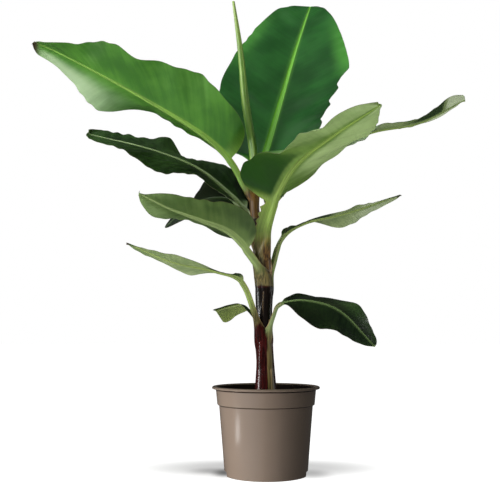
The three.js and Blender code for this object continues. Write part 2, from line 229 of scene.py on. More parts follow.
class Finish(Graph):
    """A material and short calls for what the finishes are made of."""

    def __init__(self, name, **sockets):
        self.material = bpy.data.materials.new(name)
        super().__init__(self.material)
        self.shader = self.tree.nodes["Principled BSDF"]
        self.give(**sockets)

    def give(self, **sockets):
        """Sets or links sockets of the shader, with _ for each space in a name."""
        for socket, value in sockets.items():
            self.feed(self.shader.inputs[socket.replace("_", " ")], value)

    def object_place(self):
        return self.node("ShaderNodeTexCoord", {}).outputs["Object"]

    def map_place(self, name):
        return self.node("ShaderNodeUVMap", {}, uv_map=name).outputs["UV"]

    def value_of(self, name):
        return self.node("ShaderNodeAttribute", {}, attribute_name=name).outputs["Fac"]

    def stretch(self, place, scale, shift=(0, 0, 0)):
        inputs = {"Vector": place, "Scale": scale, "Location": shift}
        return self.node("ShaderNodeMapping", inputs).outputs["Vector"]

    def noise(self, place, scale, detail=3.0, roughness=0.55):
        """Noise of this many cells to a metre, or to a unit of a map, or of one for each direction."""
        if isinstance(scale, tuple):
            place, scale = self.stretch(place, scale), 1.0
        inputs = {"Vector": place, "Scale": scale, "Detail": detail, "Roughness": roughness}
        return self.node("ShaderNodeTexNoise", inputs).outputs["Fac"]

    def remap(self, value, low, high, to_low=0.0, to_high=1.0):
        inputs = {"Value": value, "From Min": low, "From Max": high, "To Min": to_low, "To Max": to_high}
        return self.node("ShaderNodeMapRange", inputs, interpolation_type="SMOOTHSTEP").outputs["Result"]

    def math(self, operation, a, b):
        return self.node("ShaderNodeMath", {0: a, 1: b}, operation=operation).outputs["Value"]

    def plus(self, a, b):
        return self.math("ADD", a, b)

    def less(self, a, b):
        return self.math("SUBTRACT", a, b)

    def times(self, a, b):
        return self.math("MULTIPLY", a, b)

    def length(self, vector):
        return self.node("ShaderNodeVectorMath", {0: vector}, operation="LENGTH").outputs["Value"]

    def blend(self, share, a, b):
        made = self.node("ShaderNodeMix", {"Factor": share}, data_type="RGBA")
        self.feed(made.inputs[6], a)
        self.feed(made.inputs[7], b)
        return made.outputs[2]

    def shade(self, value, tones, low=0.35, high=0.65):
        """The first tone where the value is low, the second where it is high."""
        return self.blend(self.remap(value, low, high), *tones)

    def over(self, tone, name, colour, share=1.0):
        """The tone with this colour laid over it, as far as the mesh's values of this name say."""
        value = self.value_of(name)
        return self.blend(self.times(value, share) if share < 1 else value, tone, colour)

    def bump(self, height, distance, strength):
        inputs = {"Height": height, "Distance": distance, "Strength": strength}
        return self.node("ShaderNodeBump", inputs).outputs["Normal"]

    def let_light_through(self, share, tint):
        """Part of the light goes on through the sheet, in this colour."""
        through = self.node("ShaderNodeBsdfTranslucent", {"Color": tint}).outputs["BSDF"]
        inputs = {"Fac": share, 1: self.shader.outputs["BSDF"], 2: through}
        mixed = self.node("ShaderNodeMixShader", inputs).outputs["Shader"]
        self.feed(self.tree.nodes["Material Output"].inputs["Surface"], mixed)


# Light and floor

# The tall soft box to the left: place, what it points at, width and height.
LEFT_BOX = ((-1.55, -1.2, 1.25), (0.0, 0.0, 0.45), 0.5, 1.9)
LIGHTS = {
    # name: the same of each light, watts, and whether it shows as a gloss and as plain light
    "key_left": (*LEFT_BOX, 60.0, False, True),
    "sheen_left": (*LEFT_BOX, 60.0, True, False),
    "strip_left": ((-1.6, -0.12, 0.5), (0.0, 0.0, 0.25), 0.16, 1.1, 15.0, True, False),
    "strip_right": ((1.6, 0.2, 0.6), (0.0, 0.0, 0.25), 0.12, 1.3, 6.0, True, True),
    "top": ((-0.35, 0.1, 2.3), (0.0, 0.0, 0.5), 1.6, 1.6, 40.0, False, True),
    "bounce": ((-0.35, -0.45, 0.01), (-0.35, -0.45, 1.0), 2.2, 2.2, 30.0, False, True),
    "pot_side": (*LEFT_BOX, 2.8, False, True),
    "pot_sheen": ((-1.5, -1.3, 1.25), (0.0, 0.0, 0.45), 0.9, 1.9, 3.6, True, False),
    "pot_low": ((-0.36, -0.33, 0.004), (-0.1, -0.1, 0.1), 0.55, 0.45, 2.3, False, True),
    "pot_glint": ((-0.255, -0.108, 0.02), (-0.19, -0.08, 0.235), 0.06, 0.08, 0.09, True, False),
    "floor_from_right": ((0.95, -0.5, 0.62), (0.0, 0.05, 0.0), 0.5, 0.5, 9.0, False, True),
    "floor_from_left": ((-0.95, -0.5, 0.62), (0.0, 0.05, 0.0), 0.7, 0.7, 6.0, False, True),
}
# What the gloss from the left leaves out besides floor and pot.
NOT_SHINY = ["sheathed_stem", "dressed_leaf_lower_left", "dressed_leaf_lower_right",
             "dressed_leaf_front_left"]
# The surroundings' light is stronger from the left than from the right, and weak in reflections.
WORLD_FROM_LEFT, WORLD_FROM_RIGHT = 0.36, 0.06
WORLD_MIRRORED = 0.06
WHITE = (255, 255, 255)
FLOOR_SIDE = 60.0
# The floor's own glow, and what is left of it where the pot stands. It grows from the first
# distance and is whole at the second. The shade is flatter than it is wide, and lies a little
# behind the pot's middle.
FLOOR_GLOW, FLOOR_NEAR_GLOW = 1.0, 0.42
GLOW_REACH = (0.1, 0.34)
SHADE_FLATTENED = 2.2
SHADE_BEHIND = 0.07
# Deeper shade beside the pot's foot: its middle and reach on the floor, and how deep it is.
FOOT_SHADES = [
    ((-0.1, 0.035), (0.07, 0.05), 0.36),
    ((-0.08, 0.012), (0.034, 0.06), 0.72),
    ((0.09, 0.0), (0.05, 0.07), 0.36),
]
SHADE_TONE, FLOOR_TONE = (70, 68, 67), (190, 190, 190)


def make_light(name, place, target, width, height, watts, in_gloss, in_plain):
    data = bpy.data.lights.new(name, "AREA")
    data.shape = "RECTANGLE"
    data.size = width
    data.size_y = height
    data.energy = watts
    lamp = bpy.data.objects.new(name, data)
    lamp.location = place
    lamp.rotation_euler = (Vector(target) - Vector(place)).to_track_quat("-Z", "Y").to_euler()
    lamp.visible_glossy = in_gloss
    lamp.visible_diffuse = in_plain
    lamp.visible_transmission = in_plain
    lamp.visible_camera = False
    bpy.context.collection.objects.link(lamp)


def link_light(lamp_name, role, state, names):
    """Restricts what a lamp lights, or what casts its shadows, to or from the named objects."""
    chosen = bpy.data.collections.new(f"{role}_of_{lamp_name}")
    setattr(bpy.data.objects[lamp_name].light_linking, f"{role}_collection", chosen)
    for name in names:
        chosen.objects.link(bpy.data.objects[name])
    for entry in chosen.collection_objects:
        entry.light_linking.link_state = state


def link_lights():
    """Pot and floor have lights of their own, and the other lights leave both out."""
    for name in LIGHTS:
        if name.startswith("pot"):
            link_light(name, "receiver", "INCLUDE", ["glossy_pot"])
        elif name.startswith("floor"):
            link_light(name, "receiver", "INCLUDE", ["floor"])
            link_light(name, "blocker", "INCLUDE", ["glossy_pot"])
        else:
            more = NOT_SHINY if name == "sheen_left" else []
            link_light(name, "receiver", "EXCLUDE", ["floor", "glossy_pot", *more])


def make_world():
    """White for the camera, dim in reflections, and elsewhere light that falls off to the right."""
    world = bpy.data.worlds.new("studio")
    bpy.context.scene.world = world
    graph = Graph(world)
    direction = graph.node("ShaderNodeTexCoord", {}).outputs["Generated"]
    across = graph.node("ShaderNodeSeparateXYZ", {0: direction}).outputs["X"]
    inputs = {"Value": across, "From Min": -1.0, "From Max": 1.0, "To Min": WORLD_FROM_LEFT,
              "To Max": WORLD_FROM_RIGHT}
    strength = graph.node("ShaderNodeMapRange", inputs).outputs["Result"]
    plain = graph.tree.nodes["Background"]
    graph.feed(plain.inputs["Color"], WHITE)
    graph.feed(plain.inputs["Strength"], strength)
    shown = plain.outputs["Background"]
    rays = graph.node("ShaderNodeLightPath", {}).outputs
    for ray, strength in (("Is Glossy Ray", WORLD_MIRRORED), ("Is Camera Ray", 1.0)):
        light = graph.node("ShaderNodeBackground", {"Color": WHITE, "Strength": strength})
        inputs = {"Fac": rays[ray], 1: shown, 2: light.outputs["Background"]}
        shown = graph.node("ShaderNodeMixShader", inputs).outputs["Shader"]
    graph.feed(graph.tree.nodes["World Output"].inputs["Surface"], shown)


def floor_distance(finish, middle, reach):
    """How far a place on the floor is from a middle, as a share of the reach across and back."""
    (x, y), (wide, deep) = middle, reach
    scale, shift = (1 / wide, 1 / deep, 0), (-x / wide, -y / deep, 0)
    return finish.length(finish.stretch(finish.object_place(), scale, shift))


def make_floor():
    mesh = bpy.data.meshes.new("floor")
    half = FLOOR_SIDE / 2
    corners = [(-half, -half, 0), (half, -half, 0), (half, half, 0), (-half, half, 0)]
    mesh.from_pydata(corners, [], [(0, 1, 2, 3)])
    floor = bpy.data.objects.new("floor", mesh)
    bpy.context.collection.objects.link(floor)
    floor.visible_diffuse = False
    floor.visible_glossy = False
    finish = Finish("floor", Roughness=0.7, Specular_IOR_Level=0.1)
    away = floor_distance(finish, (0, SHADE_BEHIND), (1, 1 / SHADE_FLATTENED))
    glow = finish.remap(away, *GLOW_REACH, FLOOR_NEAR_GLOW, FLOOR_GLOW)
    clear = 1.0
    for middle, reach, depth in FOOT_SHADES:
        near = finish.remap(floor_distance(finish, middle, reach), 0.1, 1.0, 1 - depth, 1.0)
        clear = finish.times(clear, near)
    finish.give(Base_Color=finish.blend(clear, SHADE_TONE, FLOOR_TONE),
                Emission_Color=WHITE, Emission_Strength=finish.times(glow, clear))
    mesh.materials.append(finish.material)


def make_studio():
    for name, facts in LIGHTS.items():
        make_light(name, *facts)
    make_world()
    make_floor()
    bpy.context.scene.view_settings.view_transform = "Standard"


make_studio()


# The pseudostem's levels: height, lean to the side and radius, as in the plant's source. GAP is
# what the source keeps between two solids.
GAP = 0.3
SOIL_TOP = 148.0
STEM = [
    (SOIL_TOP + GAP, 0, 25), (156, 0, 22.6), (173, -0.5, 20.6), (215, -1, 17.6), (256, -1.6, 15.8),
    (335, -3.6, 16.2), (394, -4.2, 17), (440, -7.5, 15.2), (473, -14, 12), (509, -21, 9.4),
    (546, -23.5, 8.6), (575, -24.5, 7.4),
]
STEM_PATH = Path([(lean, radius, z) for z, lean, radius in STEM])


def stem_at(heights):
    """The stem's lean and radius at each height."""
    places = STEM_PATH.at(np.linspace(0, 1, 200))[0]
    heights = np.asarray(heights, float)
    return np.interp(heights, places[:, 2], places[:, 0]), np.interp(heights, places[:, 2], places[:, 1])


# Height bands of the stem's look, from bottom to top: each goes from its first height, is whole
# between the middle two and ends at the last. The right side of the stem has bands of its own.
BURNT_BAND = (244, 296, 352, 366)
OLIVE_BAND = (352, 370, 600, 620)
OLIVE_RIGHT_BAND = (130, 140, 292, 306)
DRY_RIGHT_BAND = (376, 392, 448, 466)
# Painted shade in the gap between stem and leaf on the left, laid on in the burnt tone.
GAP_SHADE_BAND = (460, 472, 492, 502)
DRY_TOP_BAND = (494, 504, 544, 560)
RIGHT_OF_STEM, LEFT_OF_STEM = -35.0, 215.0
# The olive strip low on the right side: its direction and the cosines where it starts and is whole.
STRIP_OF_STEM = (-60.0, 0.91, 0.98)


def band(heights, stops):
    return smooth(heights, stops[0], stops[1]) * (1 - smooth(heights, stops[2], stops[3]))


def sheath_look(places):
    """How olive, burnt and dry the sheaths are at each place on the stem."""
    heights = places[..., 2]
    turn = np.arctan2(places[..., 1], places[..., 0] - stem_at(heights)[0])
    right = smooth(np.cos(turn - math.radians(RIGHT_OF_STEM)), 0.3, 0.8)
    left = smooth(np.cos(turn - math.radians(LEFT_OF_STEM)), 0.0, 0.6)
    strip_turn, strip_start, strip_whole = STRIP_OF_STEM
    strip = smooth(np.cos(turn - math.radians(strip_turn)), strip_start, strip_whole)
    olive = np.maximum(band(heights, OLIVE_BAND), strip * band(heights, OLIVE_RIGHT_BAND))
    # Away from the front the burnt band's two ends run up and down.
    ragged = 0.5 * (1 + np.sin(turn)) * (20 * np.sin(3 * turn + 1) + 8 * np.sin(7 * turn))
    # The burnt share also carries the painted shade in the gap on the left.
    burnt = np.maximum(band(heights + ragged, BURNT_BAND), 0.9 * left * band(heights, GAP_SHADE_BAND))
    dry = np.maximum(0.75 * right * band(heights, DRY_RIGHT_BAND), band(heights, DRY_TOP_BAND))
    return dict(olive=olive, burnt=burnt, dry=dry)


# Leaves

# Nearly as in the plant's source: path of stalk and midrib, length of stalk, half-width, roll and
# fold at the blade's start and tip, how pointed the two ends are, and the height, count and start
# of the margins' waves. Left and right are as seen from the stem towards the tip. At places in
# hundredths of the blade's length, each side's width may be changed by a share, smoothly or torn
# by steps, its margin lifted in millimetres, and its colour made paler with painted sheen or deeper
# with painted shade, from one share of the half's width and whole at another. Here each leaf also
# has the half-width of its midrib, the length of its sheath on the stem, and its shade. Some have a
# dry tip, a fresh sheath that isn't burnt, or a crumpled blade, and one a loose flap beside its
# stalk: its side, width, fold, and the distances where it starts, is whole and ends.
LEAVES = {
    "leaf_upper_left": dict(
        path=[(-24, 1, 535), (-41, -2, 564), (-72, -8, 617), (-139, -22, 674), (-269, -48, 747),
            (-392, -70, 809), (-453, -80, 835)],
        stalk=95, half=115, roll=(-12, -6), fold=(34, -12), curl=6, ends=(0.4, 0.55), waves=(2, 3, 0.45),
        rib=7, sheath=70, dry_tip=True, shade="young",
        width_right={0: 1, 40: 1, 60: 1.05, 75: 1, 90: 0.9, 100: 1.2},
        tint_left={0: -0.5, 15: -0.1, 40: 0.05, 60: -0.2, 72: 0.2, 85: -0.3, 100: 0.6},
        tint_right={0: 0, 40: 0.1, 55: 0.3, 75: 0.75, 90: 0.8, 100: 0.2},
        lift_left={0: 4, 20: 1, 30: 6, 36: -1, 46: -3, 54: -12, 62: 1, 70: 6, 80: -7, 100: -9},
        lift_right={0: -6, 20: -16, 30: -8, 40: 4, 48: -1, 54: -11, 63: -36, 70: -32, 80: -12, 90: 0,
            100: -6},
    ),
    "leaf_top": dict(
        path=[(-20, 4, 545), (-6, 20, 613), (11, 40, 675), (36, 75, 769), (70, 125, 897),
            (109, 175, 1027)],
        stalk=62, half=130, roll=(-20, -20), fold=(10, 6), curl=4, ends=(0.36, 0.38),
        waves=(2, 2.5, 0.6), rib=7.5, sheath=70, shade="top", tint_reach=(0.55, 1),
        width_left={0: 0.85, 15: 0.95, 40: 1.07, 60: 1.03, 75: 0.98, 90: 1.05, 100: 1.2},
        width_right={0: 1.3, 10: 1.08, 25: 0.95, 42: 1, 54: 1.07, 68: 0.98, 85: 0.83, 100: 0.68},
        tint_left={0: -0.6, 30: -0.2, 50: 0.1, 68: 0.6, 85: 0.5, 100: -0.2},
        tint_right={0: -0.7, 35: -0.3, 50: 0.2, 62: 0.9, 80: 0.6, 92: 0, 100: -0.8},
        torn_right={0: 1, 23: 1, 25: 0.93, 34: 0.97, 36: 0.9, 44: 0.95, 46: 0.89, 50: 0.91, 52.5: 0.95,
            55: 1, 100: 1},
    ),
    "leaf_front_right": dict(
        path=[(-8, -6, 409), (1, -20, 446), (6, -30, 486), (25, -52, 542), (58, -95, 587),
            (112, -175, 615), (183, -280, 641)],
        stalk=120, half=112, roll=(-4, -10), fold=(10, -5), ends=(0.4, 0.45), waves=(2, 3, 0.1), rib=7.5,
        sheath=90, shade="front", green_from=(0.2, 0.7), tint_reach=(0, 0.2),
        flap=dict(side="right", width=18, fold=32, reach=(-20, 50, 106, 136)),
        width_left={0: 0.6, 10: 0.85, 30: 1, 70: 0.9, 84: 0.7, 100: 0.35},
        width_right={0: 1, 50: 1, 80: 0.95, 100: 0.8},
        tint_left={0: -0.5, 15: 0.1, 30: 0.6, 60: 0.6, 80: 0.6, 90: 0.7, 100: 0.7},
        tint_right={0: -1.1, 25: -1, 38: -0.7, 48: 0.1, 60: 0.35, 75: 0.5, 88: 0.5, 100: 0.6},
        lift_left={0: 24, 8: 10, 18: 6, 25: 15, 34: 14, 46: 15, 60: 11, 70: 12, 85: 17, 100: 3},
        lift_right={0: 0, 8: 30, 16: 21, 28: -3, 38: -11, 46: -14, 55: -26, 62: -23, 70: -10, 80: -12,
            90: 3, 96: 9, 100: 6},
    ),
    "leaf_right_back": dict(
        path=[(-9, 2, 435), (4, 20, 488), (21, 33, 540), (116, 70, 635), (227, 110, 704), (349, 140, 737),
            (459, 165, 799)],
        stalk=96, half=70, roll=(-9, -7), fold=(0, 30), ends=(0.4, 0.5), waves=(1.5, 3, 0.5), rib=6,
        sheath=50, shade="grey", tint_reach=(0, 0.25),
        width_right={0: 0.7, 3.5: 0.9, 7.5: 0.2, 10: 0.6, 15: 0.9, 22: 1, 100: 1},
        tint_left={0: -0.6, 20: 0, 70: 0.2, 80: 0.5, 88: 1, 95: 1.3, 100: 1.3},
        tint_right={0: -0.6, 20: 0, 62: 0.2, 70: -0.4, 76: -1, 86: -1, 90: 0.8, 95: 1.3, 100: 1.3},
        lift_left={0: -10, 10: -7, 25: -18, 38: -18, 54: -11, 62: -12, 72: -19, 82: -26, 90: -27, 96: -19,
            100: -5},
        lift_right={0: -6, 10: 2, 22: 1, 34: -4, 44: -16, 54: -8, 62: -17, 72: -12, 80: -3, 88: 6, 95: 6,
            100: 3},
    ),
    "leaf_left_back": dict(
        path=[(-18, 2, 450), (-39, 14, 512), (-83, 35, 563), (-147, 60, 618), (-249, 95, 666),
            (-392, 140, 712)],
        stalk=75, half=75, roll=(27, 32), fold=(17, -4), ends=(0.4, 0.5), waves=(2, 3, 0.5), rib=9,
        rib_taper=0.45, sheath=40, shade="deep", crumple=1.3,
        width_left={0: 0.6, 8: 0.65, 16: 0.8, 24: 0.95, 30: 0.85, 38: 1, 100: 1},
        width_right={0: 0.55, 12: 0.85, 25: 1, 100: 1},
        lift_left={0: 3, 10: 6, 17: 10, 23: 14, 30: -2, 38: -13, 46: -16, 54: -9, 63: 1, 70: 10, 90: 8,
            100: 4},
        lift_right={0: -8, 10: -15, 28: -12, 38: -24, 46: -46, 54: -35, 61: 4, 70: -5, 82: -3, 100: 10},
    ),
    "leaf_back": dict(
        path=[(-14, 6, 440), (-35, 28, 496), (-63, 50, 541), (-106, 68, 553), (-158, 84, 540),
            (-213, 100, 495)],
        stalk=75, half=75, roll=(40, 60), fold=(0, 0), ends=(0.4, 0.5), waves=(1.5, 2, 0.4), rib=5.5,
        sheath=40, shade="dark",
        width_left={0: 0.6, 70: 0.6, 85: 0.4, 100: 0.3},
        width_right={0: 0.6, 20: 0.9, 30: 1.1, 40: 1.28, 48: 1.28, 53: 1, 58: 0.6, 65: 0.25, 100: 0.25},
    ),
    "leaf_front_left": dict(
        path=[(-5.5, -8.5, 373), (-19, -22, 408), (-68, -40, 462), (-127, -62, 485), (-186, -88, 504),
            (-237, -115, 527)],
        stalk=72, half=62, roll=(-20, -8), fold=(30, -6), ends=(0.4, 0.5), waves=(1.5, 2, 0.4), rib=7.8,
        rib_taper=1.1, sheath=80, shade="olive", green_from=(0.1, 0.7),
        tint_left={0: -0.45, 30: -0.4, 55: -0.2, 80: 0.25, 100: 0.4},
        tint_right={0: -0.8, 30: -0.6, 55: 0.2, 100: 0.4},
        lift_left={0: -2, 15: 7, 30: 7, 45: -2, 60: -2, 72: 4, 88: 2, 100: -6},
        lift_right={0: 24, 8: 12, 15: 1, 25: -4, 46: 9, 62: 4, 76: -7, 90: 0, 100: 8},
    ),
    "leaf_lower_left": dict(
        path=[(-6, -6, 240), (-22, -22, 310), (-48, -34, 370), (-100, -55, 388), (-181, -90, 403),
            (-256, -125, 433)],
        stalk=137, half=38, roll=(-2, -6), fold=(-4, -16), ends=(0.4, 0.6), waves=(1, 2, 0.4), rib=5.8,
        sheath=70, dry_tip=True, shade="grey", green_from=(0.45, 0.75), fresh_sheath=True,
        tint_reach=(0, 0.15),
        width_left={0: 0.5, 6: 0.5, 13: 0.5, 30: 0.55, 42: 0.9, 100: 1},
        width_right={0: 1.2, 5: 0.9, 9: 0.25, 15: 0.3, 22: 0.6, 30: 0.85, 40: 1.1, 55: 0.95, 100: 0.9},
        tint_left={0: -0.6, 8: -1, 30: -1, 36: -0.2, 50: 0, 100: 0.1},
        tint_right={0: -1, 7.5: -1, 10: 0, 100: 0},
        lift_left={0: 8, 6: 7, 13: 0, 20: -1, 40: 5, 62: 12, 72: 9, 84: 4, 100: -4},
        lift_right={0: 16, 6: 14, 11: 3, 18: 5, 25: 3, 32: 0, 40: -4, 50: 0, 65: 8, 80: 5, 100: 1},
    ),
    "leaf_middle_right": dict(
        path=[(0, 0, 345), (13, 6, 403), (32, 16, 459), (79, 35, 494), (179, 65, 523), (292, 95, 566)],
        stalk=100, half=46, roll=(4, 22), fold=(0, -18), ends=(0.4, 0.6), waves=(1, 2, 0.4), rib=6.2,
        sheath=80, dry_tip=True, shade="grey", tint_reach=(0, 0.3),
        width_left={0: 0.05, 8: 0.1, 13: 0.5, 17: 0.6, 23: 0.35, 30: 0.4, 40: 0.7, 54: 1.1, 64: 1.15,
            75: 1, 100: 0.9},
        width_right={0: 0.05, 8: 0.1, 13: 0.4, 20: 0.3, 30: 0.4, 44: 0.85, 56: 1.1, 100: 1},
        tint_left={0: -0.7, 35: -0.6, 55: -0.1, 75: 0.5, 100: 0.2},
        tint_right={0: -1, 40: -1, 46: -0.2, 60: 0.1, 75: 0.5, 100: 0.2},
        lift_left={0: 0, 8: 2, 13: 8, 17: 10, 23: 6, 32: 8, 42: 4, 54: -3, 64: -4, 75: 2, 85: 3, 100: -1},
        lift_right={0: 0, 8: 3, 14: 9, 20: 1, 30: 0, 50: 1, 60: 4, 72: -1, 85: -4, 100: -4},
    ),
    "leaf_low_back": dict(
        path=[(-8, 6, 270), (-25, 26, 310), (-43, 42, 327), (-72, 62, 324), (-102, 78, 316)],
        stalk=24, half=30, roll=(-28, -28), fold=(-24, -24), ends=(0.5, 0.14), waves=(1, 2, 0.4),
        rib=4.5, sheath=60, shade="yellow",
        width_left={0: 0.7, 40: 0.6, 100: 0.65},
        width_right={0: 0.4, 40: 0.6, 70: 0.8, 85: 1.05, 100: 1.3},
        tint_left={0: -1, 80: -1, 100: -0.4},
    ),
    "leaf_lower_right": dict(
        path=[(0, -6, 250), (12, -17, 299), (27, -24, 326), (76, -45, 332), (138, -72, 310),
            (198, -95, 244)],
        stalk=85, half=55, roll=(-32, -45), fold=(-20, -5), ends=(0.4, 0.55), waves=(1, 2, 0.4), rib=4.6,
        rib_taper=0.4, sheath=70, shade="shaded", fresh_sheath=True,
        width_left={0: 0.1, 5: 0.4, 9: 1, 14: 1, 100: 1},
        width_right={0: 0.35, 8: 0.5, 20: 0.85, 35: 1, 100: 1},
        tint_left={0: -0.2, 30: 0, 60: 0.4, 100: 0.2},
        tint_right={0: -0.4, 30: -1, 70: -0.2, 100: 0.3},
        lift_left={0: 0, 9: 6, 20: -3, 30: -10, 46: -13, 54: -9, 64: 2, 74: -3, 82: -8, 90: -7, 100: 0},
        lift_right={0: 4, 15: 12, 30: 7, 40: -1, 48: -3, 54: -1, 64: 9, 74: 13, 100: 9},
    ),
}

# Depth of a stalk below its edges as a share of its half-width, and depth and half-width of a
# midrib's tip.
STALK_DEPTH = 1.25
RIB_TIP_DEPTH = 1.4
RIB_TIP_HALF = 1.3
# How evenly a midrib tapers: 1 is a straight taper, less is sooner.
RIB_TAPER = 0.85
# The channel along the top of a stalk and of a midrib, as a share of its depth.
STALK_CHANNEL = 0.62
RIB_CHANNEL = 0.3
# The thin wing along each edge of a stalk, and how steeply it stands.
WING = 1.6
WING_RISE = 68.0
# How far a sheath stands proud of the stem where its stalk leaves and at its foot, where it is
# sunk in, how far it wraps round, and how thick it is.
SHEATH_PROUD, SHEATH_SUNK = 1.7, -1.2
SHEATH_WRAP = 13.0
SHEATH_THICKNESS = 2.2
# The share of a stalk's length over which it parts from the stem.
PARTING = 0.5
# The shares of a stalk's length between which its colour turns from the sheath's to green.
GREEN_FROM = (0.12, 0.5)
# The heights between which a sheath that isn't burnt turns from maroon to olive.
FRESH_FROM = (245, 330)
# The shares of a blade's length between which a dry tip turns brown.
DRY_TIP = (0.965, 0.995)
# Thickness of a blade at its midrib and at its margin.
BLADE_THICKNESS = (0.9, 0.45)
# Points over a midrib's round, with its two edges, and across half a blade. The second of a half
# stands this close to the midrib, and the last but one this close to the margin.
RIB_POINTS = 9
BLADE_POINTS = 22
RIB_EDGE = 0.7
MARGIN_STRIP = 0.8
# Steps between sections on the sheath, the stalk and the blade.
SHEATH_STEP, STALK_STEP, BLADE_STEP = 1.7, 4, 2.6
# Heights of the fine ripples at a margin, of the ridges over the side veins and of slow swells.
RIPPLE, RIDGE, SWELL = 1.3, 0.22, 2.4
# How far the side veins run towards the tip for each millimetre they run outwards.
VEIN_SWEEP = 0.6
HANDS = {"left": -1, "right": 1}
# The width of a side that keeps to the outline, and the lift of one that isn't raised anywhere.
EVEN = {0: 1, 100: 1}
LEVEL = {0: 0, 100: 0}


def blade_outline(along, ends):
    """The blade's half-width as a share of its greatest, from its start to its tip."""
    start, tip = ends
    peak = start / (start + tip)

    def shape(t):
        return np.clip(t, 0, 1) ** start * (1 - np.clip(t, 0, 1)) ** tip

    return shape(along) / shape(peak)


def leaf_frames(leaf, path, distances):
    """Share of the blade, centre, side and up at each distance along the path.

    Below the stalk's foot, where distances are negative, the centre keeps to the stem.
    """
    centre, along = path.along(np.maximum(distances, 0))
    foot = centre[0]
    below = distances < 0
    lean, _ = stem_at(foot[2] + np.minimum(distances, 0))
    foot_lean, _ = stem_at(foot[2:3])
    fade = (1 + np.minimum(distances, 0) / leaf["sheath"]) ** 2
    offset = foot - np.array([foot_lean[0], 0, foot[2]])
    sunk = np.stack([lean + offset[0] * fade, offset[1] * fade, foot[2] + distances], 1)
    centre = np.where(below[:, None], sunk, centre)
    level = unit(np.cross(along, UP))
    along = np.where(below[:, None], mix(UP, along, fade[:, None]), along)
    level = unit(level - along * np.sum(level * along, 1, keepdims=True))
    upright = np.cross(level, unit(along))
    blade = (distances - leaf["stalk"]) / (path.length - leaf["stalk"])
    in_stalk = np.clip(distances / leaf["stalk"], 0, 1)
    roll = np.radians(mix(*leaf["roll"], np.clip(blade, 0, 1)) * in_stalk)[:, None]
    side = level * np.cos(roll) + upright * np.sin(roll)
    up = upright * np.cos(roll) - level * np.sin(roll)
    return blade, centre, side, up


def leaf_distances(leaf, length):
    """Distances of the sections: even on sheath and stalk, closer towards the blade's ends."""
    sheath = np.linspace(-leaf["sheath"], 0, int(leaf["sheath"] / SHEATH_STEP), endpoint=False)
    stalk_count = max(8, int(leaf["stalk"] / STALK_STEP))
    stalk = np.linspace(0, leaf["stalk"], stalk_count, endpoint=False)
    count = int((length - leaf["stalk"]) / BLADE_STEP)
    even = np.linspace(0, 1, count)
    eased = 0.5 - 0.5 * np.cos(np.pi * even)
    blade = leaf["stalk"] + (length - leaf["stalk"]) * mix(even, eased, 0.5)
    return np.concatenate([sheath, stalk, blade])


def leaf_course(leaf, distances, blade, heights):
    """What changes along a leaf: its midrib or stalk, and how its halves start from there."""
    along = np.clip(blade, 0, 1)
    on_blade = smooth(blade, -0.01, 0.07)
    parting = PARTING * leaf["stalk"]
    emerge = smooth(distances, 0, parting)
    sunk = smooth(-distances, 0, leaf["sheath"])

    # The midrib or stalk: half-width, depth below its edges, and the channel along its top.
    foot = leaf["path"][0]
    foot_lean, _ = stem_at([foot[2]])
    foot_offset = math.hypot(foot[0] - foot_lean[0], foot[1]) * (1 - sunk)
    hug = stem_at(heights)[1] + mix(SHEATH_PROUD, SHEATH_SUNK, sunk)
    rib_share = along ** leaf.get("rib_taper", RIB_TAPER)
    stalk_half = mix(hug, leaf["rib"], emerge)
    half_rib = np.where(blade > 0, mix(leaf["rib"], RIB_TIP_HALF, rib_share), stalk_half)
    full_depth = STALK_DEPTH * leaf["rib"]
    stalk_depth = mix(hug - foot_offset, full_depth, emerge)
    depth = np.where(blade > 0, mix(full_depth, RIB_TIP_DEPTH, np.sqrt(along)), stalk_depth)
    channel = depth * mix(STALK_CHANNEL, RIB_CHANNEL, on_blade)
    in_sheath = mix(depth - SHEATH_THICKNESS, channel, emerge)
    channel = np.where(distances < parting, in_sheath, channel)

    # The two halves of the blade, or the wings of the stalk.
    fold_blade = np.radians(mix(*leaf["fold"], along))
    fold_stalk = np.radians(mix(90.0, WING_RISE, emerge))
    wrapped = SHEATH_WRAP / np.maximum(hug, 5.0) * (1 - emerge)
    return SimpleNamespace(
        distances=distances, blade=blade, along=along, on_blade=on_blade, half_rib=half_rib,
        depth=depth, channel=np.maximum(channel, 0.2),
        edge=half_rib * np.sin(fold_blade) * on_blade,
        fold=mix(fold_stalk, fold_blade, on_blade),
        curl=mix(wrapped, math.radians(leaf.get("curl", 0)), on_blade),
        wing=mix(SHEATH_WRAP * mix(1.0, 0.75, sunk), WING, emerge),
        outline=leaf["half"] * blade_outline(blade, leaf["ends"]),
    )


